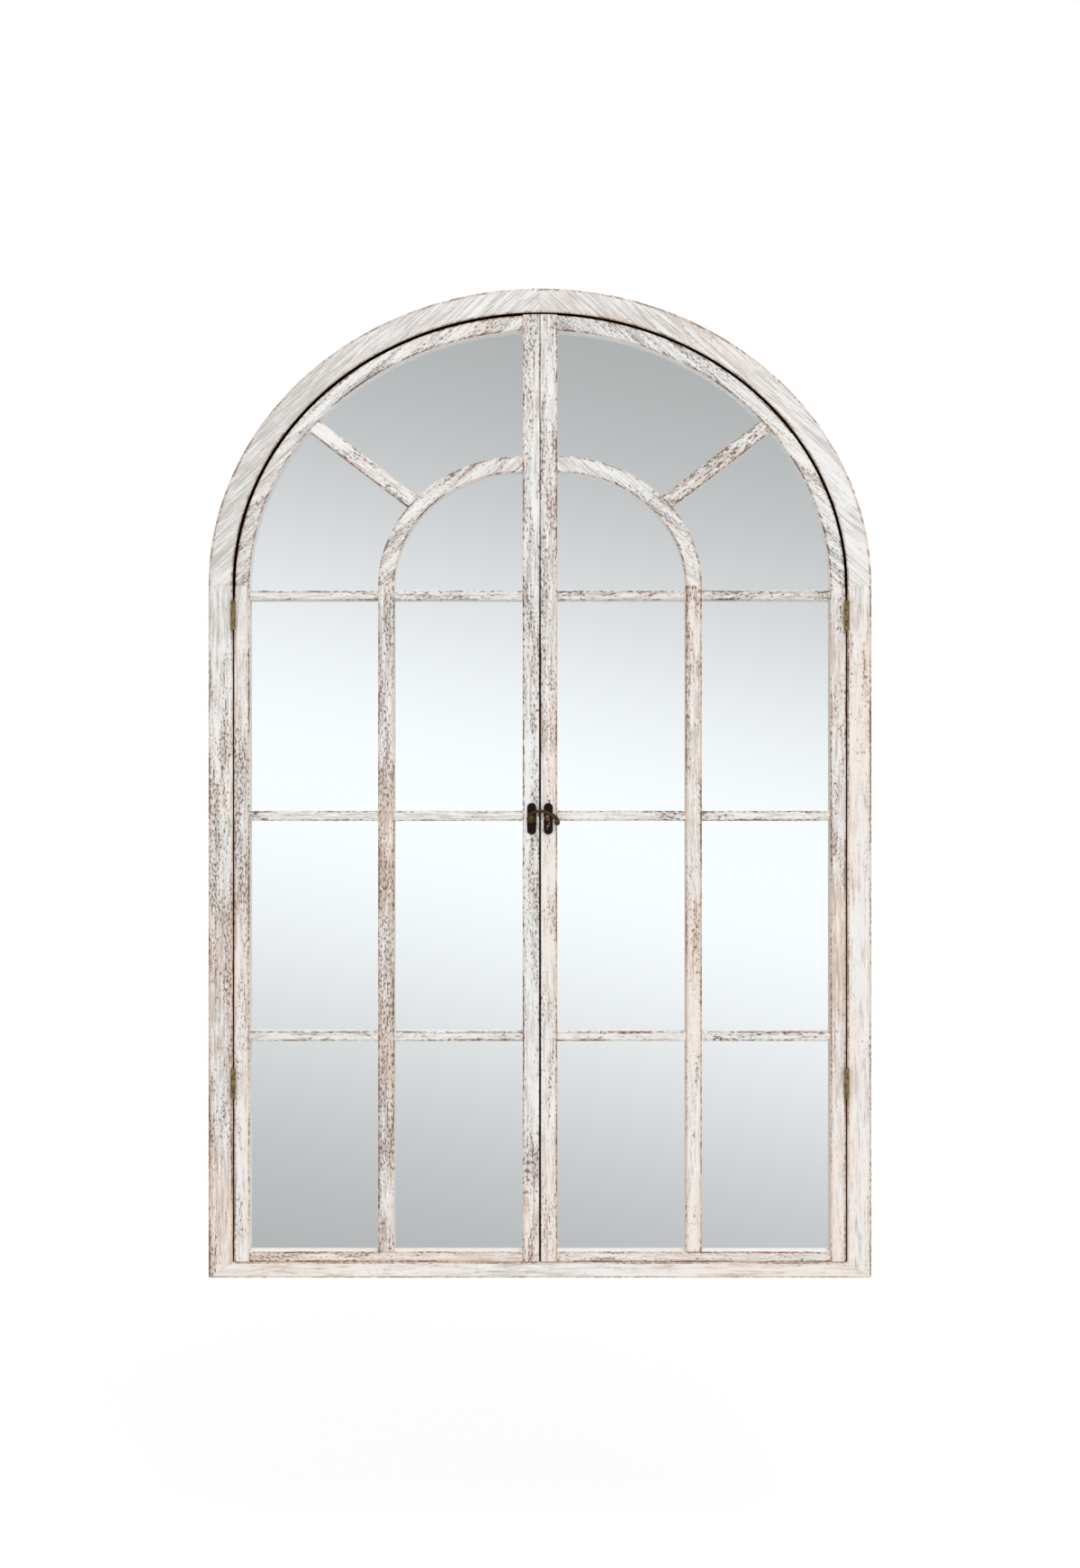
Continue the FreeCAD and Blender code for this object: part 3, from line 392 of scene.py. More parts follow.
def frame_section(edge_bare_and_shade, lean=0.0):
    """The section of a frame member: bare behind, and bare or dark brown on the edge that faces the door,
    where the dark brown paints the shade deep in the gap.

    The edge leans in a little under its arris, where the gap to the door is narrow."""

    def skin(across, depth):
        if depth < BARE_FROM or across > PAINTED_RIM:
            return 0.0, 0.0, 0.0
        return edge_bare_and_shade if -STOP_LIP < across <= 0 else BARE, 0.0, 0.0

    return softened(
        [
            (FRAME_WIDTH, FRONT, OUTER_EASE, FULL_RUB),
            (0.0, FRONT, INNER_EASE, FULL_RUB),
            (-lean, BARE_FROM, 0.0, 0.0),
            (-lean, STOP_FACE, 0.0, 0.0),
            (-STOP_LIP, STOP_FACE, 0.0, 0.0),
            (-STOP_LIP, PANEL_SEAT, 0.0, 0.0),
            (PANEL_LEDGE, PANEL_SEAT, 0.0, 0.0),
            (PANEL_LEDGE, 0.0, 0.0, 0.0),
            (FRAME_WIDTH, 0.0, BACK_EASE, BACK_RUB),
        ],
        skin,
    )


def rail_level(across):
    """Height of a line of the bottom rail that meets the same line of the stile at the mitre."""
    if across > PANEL_LEDGE:
        return RAIL_HEIGHT * (FRAME_WIDTH - across) / FRAME_WIDTH
    return RAIL_HEIGHT - across


def rounded_foot(x, y, z):
    """Keeps a point inside the round outer corner at the foot."""
    centre = Vector((OPEN_HALF + FRAME_WIDTH - CORNER_ROUND, CORNER_ROUND))
    out = Vector((abs(x), z)) - centre
    if out.x > 0 and out.y < 0 and out.length > CORNER_ROUND:
        out = centre + out.normalized() * CORNER_ROUND
        return math.copysign(out.x, x), y, out.y
    return x, y, z


def widening(z):
    """How far the gap beside the stiles has turned into the wider gap round the arch, at a height."""
    return ramp(z, WIDENS_FROM, SPRING)


def straightened(across, z):
    """A line of the frame's stile, whose edge stops leaning above the hinge."""
    return across * (1 - widening(z)) if -STOP_LIP < across < 0 else across


for side, hand in HANDS:
    board(
        f"frame_stile_{hand}",
        side,
        frame_section(MOSTLY_SHADED_BROWN, EDGE_LEAN),
        [
            lambda across, depth, z=z: rounded_foot(
                OPEN_HALF + straightened(across, z),
                depth,
                rail_level(across) + (SPRING - rail_level(across)) * z / SPRING,
            )
            for z in CORNER_HEIGHTS + steps(STATION_STEP, SPRING)
        ],
        upright,
        FRAME_STILE_AGE[hand],
        "frame",
    )
    board(
        f"frame_arch_{hand}",
        side,
        frame_section(SHADED_BROWN),
        [
            lambda across, depth, turn=turn: (
                (OPEN_HALF + across) * math.cos(turn),
                depth,
                SPRING + (OPEN_RISE + across) * math.sin(turn),
            )
            for turn in steps(0.0, math.pi / 2, FRAME_ARCH_STEP)
        ],
        chord,
        FRAME_ARCH_AGE[hand],
        "frame",
    )
rail_runs = [
    *(-run for run in reversed(CORNER_RUNS)),
    *steps(-STRAIGHT_RUN, STRAIGHT_RUN, RAIL_STEP),
    *CORNER_RUNS,
]
board(
    "frame_bottom_rail",
    1,
    frame_section(BARE, EDGE_LEAN),
    [
        lambda across, depth, run=run: rounded_foot((OPEN_HALF + across) * run, depth, rail_level(across))
        for run in rail_runs
    ],
    level,
    FRAME_RAIL_AGE,
    "frame",
)

# Door members: stiles, rails and a quarter arch round each mirror, rebated for the glass from behind.
# They carry the same rubbed paint as the frame, thicker and unworn on the sight edges that no cloth
# reached, which also paints the light on those walls. The backs are bare and the edges that face the
# frame and the other door are mostly dark brown, which paints the shade deep in the gaps.
DOOR_GAP, FLOOR_GAP, MEETING_GAP = 2.0, 1.0, 1.8
DOOR_THICKNESS, FACE_DEPTH, REBATE = 18.0, 9.0, 5.0
HINGE_STILE_WIDTH, MEETING_STILE_WIDTH, ARCH_RAIL_WIDTH, DOOR_RAIL_HEIGHT = 14.0, 15.0, 14.5, 9.2
DOOR_HALF, DOOR_RISE, DOOR_FOOT = OPEN_HALF - DOOR_GAP, OPEN_RISE - DOOR_GAP, RAIL_HEIGHT + FLOOR_GAP
DOOR_BACK, GLASS_FACE, MEETING_EDGE = FRONT + DOOR_THICKNESS, FRONT + FACE_DEPTH, MEETING_GAP / 2
SIGHT_OUT, SIGHT_IN = DOOR_HALF - HINGE_STILE_WIDTH, MEETING_EDGE + MEETING_STILE_WIDTH
SIGHT_RISE, SIGHT_FOOT = DOOR_RISE - ARCH_RAIL_WIDTH, DOOR_FOOT + DOOR_RAIL_HEIGHT
ARCH_GAIN = (DOOR_RISE - SIGHT_RISE) / (DOOR_HALF - SIGHT_OUT)
# Depths where the painted shade line at the glass starts and where it is full, and the depth behind the
# arris from which the paint is thick and unworn, which paints the light on the sight walls.
SEAM_SHADE_EDGE, SEAM_SHADE_FULL, SHELTERED_AND_LIT_FROM = GLASS_FACE - 1.3, GLASS_FACE - 1.0, FRONT + 1.2
# How dark the painted shade line at the glass is on each door's stiles: darker on the right door, whose
# sight walls face away from the lamp.
STILE_SEAM_SHADE = {"left": 0.4, "right": 1.0}
MEETING_RUB, SIGHT_EASE = 0.15, 0.9
ARCH_CLEARANCE = {"left": 0.9, "right": 0.6}
MEETING_STEP, ARCH_RAIL_STEP = 0.0046, 0.01
CLOSING, CLOSING_FROM, CLOSED_FROM = 0.6, 0.6, 0.8
# Above this height the meeting edges are painted, so the dark brown that paints the shade in the meeting
# gap stops there.
EDGE_PAINTED_FROM = 640.0
HINGE_STILE_AGE = {
    "left": [(110, 0.28, 0.42, 0.63), (350, 0.57, 0.55, 0.56), (SPRING, 0.44, 0.2, 0.54)],
    "right": [
        (110, 0.28, 0.85, 0.64), (280, 0.36, 0.95, 0.52), (400, 0.38, 0.45, 0.46),
        (SPRING, 0.54, 0.3, 0.56),
    ],
}
MEETING_STILE_AGE = {
    "left": [
        (60, 0.54, 0.6, 0.52), (160, 0.36, 0.15, 0.62), (278, 0.58, 0.13, 0.63),
        (365, 0.62, 0.12, 0.7), (485, 0.4, 0.08, 0.8), (570, 0.76, 0.2, 0.57),
        (700, 0.53, 0.25, 0.6),
    ],
    "right": [
        (250, 0.44, 0.9, 0.61), (365, 0.14, 0.5, 0.68), (485, 0.56, 0.8, 0.56),
        (570, 0.56, 0.6, 0.59), (700, 0.78, 0.35, 0.6), (815, 0.56, 0.05, 0.59),
    ],
}
DOOR_RAIL_AGE = {"left": [(DOOR_FOOT, 0.4, 0.65, 0.57)], "right": [(DOOR_FOOT, 0.38, 0.65, 0.58)]}
ARCH_RAIL_AGE = {
    "left": [(710, 0.46, 0.12, 0.48), (805, 0.46, 0.08, 0.62), (865, 0.5, 0.25, 0.63)],
    "right": [(710, 0.46, 0.12, 0.64), (805, 0.38, 0.1, 0.59), (865, 0.62, 0.0, 0.55)],
}


def in_seam_shade(depth):
    """1 in the thin painted shade line where wood meets the glass."""
    return float(SEAM_SHADE_FULL <= depth <= GLASS_FACE)


def sheltered_and_lit(depth):
    """1 behind the arris, where the paint was not rubbed, so it is thick and unworn, which also paints the
    light on the sight walls.
    """
    return float(depth > SHELTERED_AND_LIT_FROM)


def rebated(outer, inner, seat, edge_bare_and_shade, lean=0.0, seam_shade=0.0, outer_rub=FULL_RUB):
    """The section of a door member from its outer edge to its sight edge, with the rebate behind it."""
    wall = outer + math.copysign(lean, outer - inner)

    # Gap-facing edges are bare or dark brown, the dark brown painting the gap's shade; the sight edge
    # carries the painted shade line at the glass; behind the arris the paint is thick and unworn, which
    # paints the light on the sight walls.
    def skin(across, depth):
        if depth >= BARE_FROM and across == wall:
            return edge_bare_and_shade, 0.0, 0.0
        return BARE * (depth > GLASS_FACE), seam_shade * in_seam_shade(depth) * (across == inner), sheltered_and_lit(depth)

    return softened(
        [
            (inner, FRONT, SIGHT_EASE, FULL_RUB),
            (inner, SEAM_SHADE_EDGE, 0.0, 0.0),
            (inner, SEAM_SHADE_FULL, 0.0, 0.0),
            (inner, GLASS_FACE, 0.0, 0.0),
            (seat, GLASS_FACE, 0.0, 0.0),
            (seat, DOOR_BACK, 0.0, 0.0),
            (wall, DOOR_BACK, 0.0, 0.0),
            (wall, BARE_FROM, 0.0, 0.0),
            (outer, FRONT, INNER_EASE, outer_rub),
        ],
        skin,
    )


def door_top(x):
    """Height of the door's outer edge over a place on its crown."""
    return SPRING + DOOR_RISE * math.sqrt(1 - (x / DOOR_HALF) ** 2)


def arch_place(across, depth, share):
    """A point of the arch rail, a share of the way from the spring line to the meeting stile."""
    turn = share * math.acos(SIGHT_IN / (SIGHT_OUT + across))
    rise = SIGHT_RISE + across * ARCH_GAIN
    return (SIGHT_OUT + across) * math.cos(turn), depth, SPRING + rise * math.sin(turn)


def drawn_back(across, z, clearance):
    """A line of the hinge stile, whose outer edge draws back above the hinge to meet the arch rail."""
    if across <= SIGHT_OUT + REBATE:
        return across
    return across + (min(across, DOOR_HALF) - clearance - across) * widening(z)


def closing(across, share):
    """How far a line of the meeting stile leans in over the gap, which closes up towards the crown."""
    lean = CLOSING * ramp(share, CLOSING_FROM, CLOSED_FROM)
    return lean * (SIGHT_IN - across) / (SIGHT_IN - MEETING_EDGE)


for side, hand in HANDS:
    door = f"{hand}_door"
    board(
        f"{hand}_hinge_stile",
        side,
        rebated(DOOR_HALF, SIGHT_OUT, SIGHT_OUT + REBATE, MOSTLY_SHADED_BROWN, EDGE_LEAN, STILE_SEAM_SHADE[hand]),
        [
            lambda across, depth, z=z, clearance=ARCH_CLEARANCE[hand]: (
                drawn_back(across, z, clearance), depth, z
            )
            for z in steps(DOOR_FOOT, SPRING)
        ],
        upright,
        HINGE_STILE_AGE[hand],
        door,
    )
    board(
        f"{hand}_meeting_stile",
        side,
        rebated(MEETING_EDGE, SIGHT_IN, SIGHT_IN - REBATE, SHADED_BROWN, 0.0, STILE_SEAM_SHADE[hand], MEETING_RUB),
        [
            lambda across, depth, share=share: (
                across - closing(across, share), depth, DOOR_FOOT + (door_top(across) - DOOR_FOOT) * share
            )
            for share in steps(0.0, 1.0, MEETING_STEP)
        ],
        upright,
        MEETING_STILE_AGE[hand],
        door,
        EDGE_PAINTED_FROM,
    )
    board(
        f"{hand}_bottom_rail",
        side,
        rebated(DOOR_FOOT, SIGHT_FOOT, SIGHT_FOOT - REBATE, BARE, EDGE_LEAN),
        [lambda across, depth, x=x: (x, depth, across) for x in steps(SIGHT_IN, SIGHT_OUT)],
        level,
        DOOR_RAIL_AGE[hand],
        door,
    )
    board(
        f"{hand}_arch_rail",
        side,
        rebated(DOOR_HALF - SIGHT_OUT - ARCH_CLEARANCE[hand], 0.0, REBATE, SHADED_BROWN),
        [
            lambda across, depth, share=share: arch_place(across, depth, share)
            for share in steps(0.0, 1.0, ARCH_RAIL_STEP)
        ],
        chord,
        ARCH_RAIL_AGE[hand],
        door,
    )

# Glazing bars: a mullion lapped over three thin cross bars, an inner arch on top of the mullion and a
# spoke from it to the arch rail. All are strips of the same painted wood, laid on the face of the mirror.
MULLION_WIDTH, BAR_HALF_HEIGHT, BAR_DROP, BAR_SETBACK = 15.0, 4.6, 9.0, 1.0
SIGHT_MIDDLE = (SIGHT_IN + SIGHT_OUT) / 2
MULLION_OUT, MULLION_IN = SIGHT_MIDDLE + MULLION_WIDTH / 2, SIGHT_MIDDLE - MULLION_WIDTH / 2
LAP_FACE, LAP_PLAY, BAR_FACE = (FRONT + GLASS_FACE) / 2, 0.05, FRONT + BAR_SETBACK
BAR_NAMES = ("upper", "middle", "lower")
TOP_BAR = SPRING - BAR_DROP
BAR_PITCH = (TOP_BAR + BAR_HALF_HEIGHT - SIGHT_FOOT) / len(BAR_NAMES)
BAR_HEIGHTS = {name: TOP_BAR - number * BAR_PITCH for number, name in enumerate(BAR_NAMES)}
RING_HALF, RING_RISE, RING_WIDTH = MULLION_OUT - SIGHT_IN, 119.06, 15.0
SPOKE_WIDTH, SPOKE_ANGLE = 14.0, math.radians(37.4)
# How dark the painted shade line at the glass is along the mullion, the cross bars and the arched strips.
MULLION_SEAM_SHADE, BAR_SEAM_SHADE, ARCH_SEAM_SHADE = 1.0, 0.5, 0.0
INNER_ARCH_STEP, SPOKE_STEP, SPOKE_BED = 0.025, 0.035, 0.3
SPOKE_REACH, REACH_HALVINGS = 400.0, 40
MULLION_AGE = {
    "left": [
        (70, 0.54, 0.35, 0.53), (160, 0.78, 0.6, 0.52), (278, 0.6, 0.5, 0.57), (365, 0.68, 0.8, 0.52),
        (485, 0.54, 0.3, 0.6), (570, 0.64, 0.3, 0.57),
    ],
    "right": [(200, 0.28, 0.9, 0.66), (400, 0.47, 1.0, 0.54), (570, 0.56, 0.85, 0.6)],
}
BAR_AGE = {
    "left": [(424, 0.36, 0.08, 0.57), (626, 0.42, 0.2, 0.55)],
    "right": [(424, 0.4, 0.3, 0.61), (626, 0.55, 0.3, 0.48)],
}
INNER_ARCH_AGE = {
    "left": [(670, 0.55, 0.25, 0.66), (710, 0.48, 0.08, 0.65), (740, 0.5, 0.22, 0.56)],
    "right": [(670, 0.36, 0.25, 0.57), (710, 0.64, 0.15, 0.57), (740, 0.22, 0.0, 0.5)],
}
SPOKE_AGE = {
    "left": [(755, 0.52, 0.2, 0.6), (770, 0.15, 0.1, 0.72)],
    "right": [(755, 0.7, 0.4, 0.56), (770, 0.45, 0.2, 0.56)],
}


def strip(low, high, face, seam_shade):
    """The section of a glazing bar from its face to the mirror."""
    return softened(
        [
            (low, face, SIGHT_EASE, FULL_RUB),
            (high, face, SIGHT_EASE, FULL_RUB),
            (high, SEAM_SHADE_EDGE, 0.0, 0.0),
            (high, SEAM_SHADE_FULL, 0.0, 0.0),
            (high, GLASS_FACE, 0.0, 0.0),
            (low, GLASS_FACE, 0.0, 0.0),
            (low, SEAM_SHADE_FULL, 0.0, 0.0),
            (low, SEAM_SHADE_EDGE, 0.0, 0.0),
        ],
        # The sides carry the painted shade line at the glass and, behind the face, thick unworn paint that
        # paints the light on them.
        lambda across, depth: (0.0, seam_shade * in_seam_shade(depth), sheltered_and_lit(depth)),
    )


def lapped(depth, face, front, back):
    """A depth in a bar from its face to the glass, brought between the faces that a half lap leaves."""
    return front + (depth - face) * (back - front) / (GLASS_FACE - face)


def spoke_point(run, aside):
    """Where a point along and beside the spoke's middle line lies, up from the spring line."""
    return (
        SIGHT_IN + run * math.cos(SPOKE_ANGLE) - aside * math.sin(SPOKE_ANGLE),
        run * math.sin(SPOKE_ANGLE) + aside * math.cos(SPOKE_ANGLE),
    )


def reach(aside, half, rise, centre):
    """How far a line beside the spoke's middle runs before it meets an arch."""
    near, far = 0.0, SPOKE_REACH
    for _ in range(REACH_HALVINGS):
        middle = (near + far) / 2
        x, z = spoke_point(middle, aside)
        if ((x - centre) / half) ** 2 + (z / rise) ** 2 < 1:
            near = middle
        else:
            far = middle
    return near


def spoke_place(aside, depth, share):
    """A point of the spoke, a share of the way from the inner arch to the arch rail."""
    start = reach(aside, RING_HALF - SPOKE_BED, RING_RISE - SPOKE_BED, SIGHT_IN)
    end = reach(aside, SIGHT_OUT + SPOKE_BED, SIGHT_RISE + SPOKE_BED, 0.0)
    x, z = spoke_point(start + (end - start) * share, aside)
    return x, depth, SPRING + z


def spoke_grain(x, z):
    """Grain that runs along the spoke."""
    return (
        x * math.cos(SPOKE_ANGLE) + z * math.sin(SPOKE_ANGLE),
        z * math.cos(SPOKE_ANGLE) - x * math.sin(SPOKE_ANGLE),
    )


for side, hand in HANDS:
    door = f"{hand}_door"
    mullion_runs = []
    last = SIGHT_FOOT
    for height in sorted(BAR_HEIGHTS.values()):
        low, high = height - BAR_HALF_HEIGHT, height + BAR_HALF_HEIGHT
        mullion_runs += [(z, GLASS_FACE) for z in steps(last, low - LAP_PLAY)]
        mullion_runs += [(z, LAP_FACE) for z in steps(low, high)]
        last = high + LAP_PLAY
    mullion_runs += [(z, GLASS_FACE) for z in steps(last, SPRING)]
    board(
        f"{hand}_mullion",
        side,
        strip(MULLION_IN, MULLION_OUT, FRONT, MULLION_SEAM_SHADE),
        [
            lambda across, depth, z=z, back=back: (across, lapped(depth, FRONT, FRONT, back), z)
            for z, back in mullion_runs
        ],
        upright,
        MULLION_AGE[hand],
        door,
    )
    bar_runs = [(x, BAR_FACE) for x in steps(SIGHT_IN, MULLION_IN - LAP_PLAY)]
    bar_runs += [(x, LAP_FACE) for x in steps(MULLION_IN, MULLION_OUT)]
    bar_runs += [(x, BAR_FACE) for x in steps(MULLION_OUT + LAP_PLAY, SIGHT_OUT)]
    for name, height in BAR_HEIGHTS.items():
        board(
            f"{hand}_bar_{name}",
            side,
            strip(height - BAR_HALF_HEIGHT, height + BAR_HALF_HEIGHT, BAR_FACE, BAR_SEAM_SHADE),
            [
                lambda across, depth, x=x, face=face: (x, lapped(depth, BAR_FACE, face, GLASS_FACE), across)
                for x, face in bar_runs
            ],
            level,
            BAR_AGE[hand],
            door,
        )
    board(
        f"{hand}_inner_arch",
        side,
        strip(0.0, RING_WIDTH, FRONT, ARCH_SEAM_SHADE),
        [
            lambda across, depth, turn=turn: (
                SIGHT_IN + (RING_HALF - RING_WIDTH + across) * math.cos(turn),
                depth,
                SPRING + (RING_RISE - RING_WIDTH + across) * math.sin(turn),
            )
            for turn in steps(0.0, math.pi / 2, INNER_ARCH_STEP)
        ],
        chord,
        INNER_ARCH_AGE[hand],
        door,
    )
    board(
        f"{hand}_spoke",
        side,
        strip(-SPOKE_WIDTH / 2, SPOKE_WIDTH / 2, BAR_FACE, ARCH_SEAM_SHADE),
        [
            lambda across, depth, share=share: spoke_place(across, depth, share)
            for share in steps(0.0, 1.0, SPOKE_STEP)
        ],
        spoke_grain,
        SPOKE_AGE[hand],
        door,
    )

# Mirrors: one sheet of 3 mm float glass per door, silvered on the back, set in the rebate behind the
# glazing bars. The ground edges show the green of the glass.


def silvered_glass():
    """A clear reflection with the faint blue-green of float glass and a little dust on its face."""
    material, start, shader = finish("silvered_glass")
    place = start.spot()
    facing = start.add("ShaderNodeNewGeometry", {}, {}, "Normal")
    forward = start.add("ShaderNodeSeparateXYZ", {}, {"Vector": facing}, "Y")
    rim = 1.0 - (forward * forward).ease(0.2, 0.6)
    dust = place.grains(260.0, 4.0, 0.7).ease(0.62, 0.8)
    cloud = place.grains(9.0, 3.0, 0.5).ease(0.4, 0.7)
    silver, dusty, ground_edge = (0.93, 0.963, 0.975, 1.0), (0.9, 0.93, 0.94, 1.0), (0.13, 0.3, 0.24, 1.0)
    feed(shader, {
        "Base Color": rim.layer(dust.layer(silver, dusty), ground_edge),
        "Metallic": 1.0 - rim * 0.8,
        "Roughness": 0.012 + cloud * 0.006 + dust * 0.03 + rim * 0.25,
    })
    return material


def dress(finish_made, *nodes):
    """Gives solids that show as they are their finish."""
    for name in nodes:
        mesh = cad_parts[name].data
        mesh.materials.clear()
        mesh.materials.append(finish_made)


dress(silvered_glass(), "left_mirror", "right_mirror")

# Back panel and backing boards: thin brown hardboard, the panel screwed into the frame's rebate and a
# board behind each mirror. The pressed face is dark and smooth, with a fleck of fibre in it.


def hardboard():
    """Pressed fibre with lighter flecks and a soft mottle."""
    material, start, shader = finish("hardboard")
    place = start.spot()
    mottle = place.grains(60.0, 5.0, 0.7).ease(0.3, 0.7)
    fleck = place.scaled(1.0, 1.0, 0.35).grains(900.0, 3.0, 0.7).ease(0.54, 0.7)
    colour = (fleck * 0.55).layer(mottle.layer(tone(116, 84, 58), tone(126, 92, 65)), tone(168, 132, 98))
    lean = fleck.relief(0.25, 0.0002)
    feed(shader, {"Base Color": colour, "Roughness": 0.55 + fleck * 0.2, "Normal": lean})
    return material


dress(hardboard(), "back_panel", "left_backing_board", "right_backing_board")

# Dowels: beech pegs glued into the joints of the frame and of the doors. They sit inside the wood, across
# each joint.


def beech():
    """Pale hardwood with short flecks along the grain."""
    material, start, shader = finish("beech")
    place = start.spot()
    fleck = place.grains(700.0, 3.0, 0.6).ease(0.5, 0.7)
    colour = fleck.layer(tone(212, 178, 136), tone(176, 138, 98))
    feed(shader, {"Base Color": colour, "Roughness": 0.6 + fleck * 0.1})
    return material


dress(beech(), "frame_dowels", "left_door_dowels", "right_door_dowels")

# Hanger plates, screws and brads: zinc-plated steel. The keyhole plates are let in flush with the back of
# the stiles, the screws are countersunk and the brads hold the backing boards.


def zinc():
    """Bright grey plating with a faint spangle and duller patches."""
    material, start, shader = finish("zinc_plate")
    place = start.spot()
    spangle = place.grains(420.0, 2.0, 0.5).ease(0.4, 0.62)
    dull = place.grains(60.0, 3.0, 0.6).ease(0.45, 0.7)
    plating = spangle.layer(tone(186, 188, 190), tone(206, 207, 205))
    feed(shader, {
        "Base Color": dull.layer(plating, tone(160, 160, 158)),
        "Metallic": 1.0,
        "Roughness": 0.3 + spangle * 0.08 + dull * 0.18,
    })
    return material


dress(
    zinc(),
    "hanger_plate_left",
    "hanger_plate_right",
    "hanger_screws",
    "back_panel_screws",
    "left_backing_brads",
    "right_backing_brads",
)

# Butt hinges: two a side, each of a frame leaf, a door leaf and a pin, in brass that has aged to a dull
# brown in its hollows. Their leaves are screwed to the facing edges and their knuckles stand in front.


def aged_brass():
    """Yellow brass under a patchy brown tarnish."""
    material, start, shader = finish("aged_brass")
    place = start.spot()
    tarnish = place.grains(330.0, 5.0, 0.65).ease(0.38, 0.66)
    scratch = place.scaled(3000.0, 3000.0, 260.0).grains(1.0, 2.0).ease(0.5, 0.72)
    colour = tarnish.layer(tone(168, 143, 100), tone(98, 80, 55))
    height = tarnish + scratch * 0.4
    feed(shader, {
        "Base Color": (scratch * 0.35).layer(colour, tone(184, 162, 120)),
        "Metallic": 1.0,
        "Roughness": 0.34 + tarnish * 0.26,
        "Normal": height.relief(0.3, 0.0002),
    })
    return material


hinge_leaves = [
    f"hinge_leaf_{owner}_{hand}_{place}"
    for owner in ("frame", "door")
    for hand in ("left", "right")
    for place in ("upper", "lower")
]
hinge_screws = ["hinge_frame_screws", "left_hinge_screws", "right_hinge_screws"]
dress(aged_brass(), *hinge_leaves, "hinge_pins", *hinge_screws)

# Hook latch: cast plates on the two meeting stiles, a hook that turns on a rivet and a post that it drops
# over. The metal is browned almost black, with light copper on the post and on a tongue pressed up from
# the catch plate, where fingers rub it; this copper also paints the highlights on them.
HOOK_EASE, PLATE_EASE, EASE_SEGMENTS = 0.5, 0.3, 3
WELD_WITHIN, EASED_FROM = 0.001, math.radians(40)
PLATE_THICKNESS, TONGUE_RISE, TONGUE_NARROWING = 1.0, 0.2, 0.6
PLATE_FACE = FRONT - PLATE_THICKNESS
TONGUE_TOP, TONGUE_FOOT, TONGUE_HALF_WIDTH = (8.6, 419.2), (6.4, 411.6), 1.0


def dark_bronze(name, dark, rubbed_to, share):
    """Browned bronze, with a share of it rubbed back to copper."""
    material, start, shader = finish(name)
    place = start.spot()
    rubbed = place.grains(420.0, 4.0, 0.6).ease(0.72 - share, 0.86 - share)
    pits = place.grains(1700.0, 2.0).ease(0.4, 0.7)
    feed(shader, {
        "Base Color": (rubbed * 0.75).layer(dark, rubbed_to),
        "Metallic": 1.0,
        "Roughness": 0.36 + pits * 0.16,
        "Normal": pits.relief(0.35, 0.0002),
    })
    return material


def eased(width, *nodes):
    """Takes the sharp edges off solids that show as they are."""
    for name in nodes:
        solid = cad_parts[name]
        solid.modifiers.new("joined", "WELD").merge_threshold = WELD_WITHIN * MM
        ease = solid.modifiers.new("eased", "BEVEL")
        ease.width = width * MM
        ease.segments = EASE_SEGMENTS
        ease.limit_method = "ANGLE"
        ease.angle_limit = EASED_FROM


browned = dark_bronze("browned_bronze", tone(44, 34, 29), tone(92, 68, 50), 0.12)
handled = dark_bronze("handled_bronze", tone(80, 64, 47), tone(122, 95, 67), 0.18)
# Copper rubbed through, light enough to also paint the highlights on the post and the tongue.
fingered_and_highlit = dark_bronze("fingered_highlit_bronze", tone(84, 62, 50), tone(176, 134, 112), 0.24)
dress(browned, "latch_base_plate", "latch_base_screws", "catch_plate", "catch_screws")
dress(handled, "latch_hook", "latch_rivet")
dress(fingered_and_highlit, "catch_post")
eased(HOOK_EASE, "latch_hook")
eased(PLATE_EASE, "latch_base_plate", "catch_plate")

tongue_line = Vector(TONGUE_FOOT) - Vector(TONGUE_TOP)
tongue_aside = Vector((-tongue_line.y, tongue_line.x)).normalized() * TONGUE_HALF_WIDTH
tongue_shape = bmesh.new()
for lift, narrow in ((0.0, 1.0), (TONGUE_RISE, TONGUE_NARROWING)):
    for end, way in ((TONGUE_TOP, 1), (TONGUE_TOP, -1), (TONGUE_FOOT, -1), (TONGUE_FOOT, 1)):
        spot = Vector(end) + tongue_aside * way * narrow
        tongue_shape.verts.new((spot.x * MM, (PLATE_FACE - lift) * MM, FOOT + spot.y * MM))
bmesh.ops.convex_hull(tongue_shape, input=tongue_shape.verts)
tongue_mesh = bpy.data.meshes.new("catch_tongue")
tongue_shape.to_mesh(tongue_mesh)
tongue_shape.free()
tongue_mesh.materials.append(fingered_and_highlit)
tongue = placed("catch_tongue", tongue_mesh)
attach(tongue, "right_door")

# Studio: a pale floor well below the hung mirror, one broad soft lamp from above on the right and an even
# surround. In reflections the surround is a bright band at eye height that falls off above and below.
VIEW_DISTANCE, VIEW_HEIGHT = 2.0, 0.4533
LONG_SIDE_SENSOR, LONG_SIDE_VIEW = 36.0, 1.4387
FLOOR_DROP, FLOOR_SIDE, FLOOR_NEAR, FLOOR_FAR = 0.28, 1.6, -1.2, 1.6
FLOOR_GLOW, FLOOR_GLOW_SHARE = 1.04, 0.88
LAMP_PLACE, LAMP_AIM = Vector((0.8, -3.0, 3.6)), Vector((0.0, 0.0, -0.15))
LAMP_WIDTH, LAMP_HEIGHT, LAMP_POWER = 2.4, 2.0, 114.0
BAND_DROP, BAND_TILT, BAND_FALL = 0.0216, 0.203, 47.6
BAND_FAR, BAND_MIDDLE = (0.415, 0.412, 0.405, 1.0), (1.02, 1.03, 1.04, 1.0)
EVEN_LIGHT = (0.69, 0.69, 0.69, 1.0)
WHITE, MATT_WHITE = (1.0, 1.0, 1.0, 1.0), (0.88, 0.88, 0.87, 1.0)

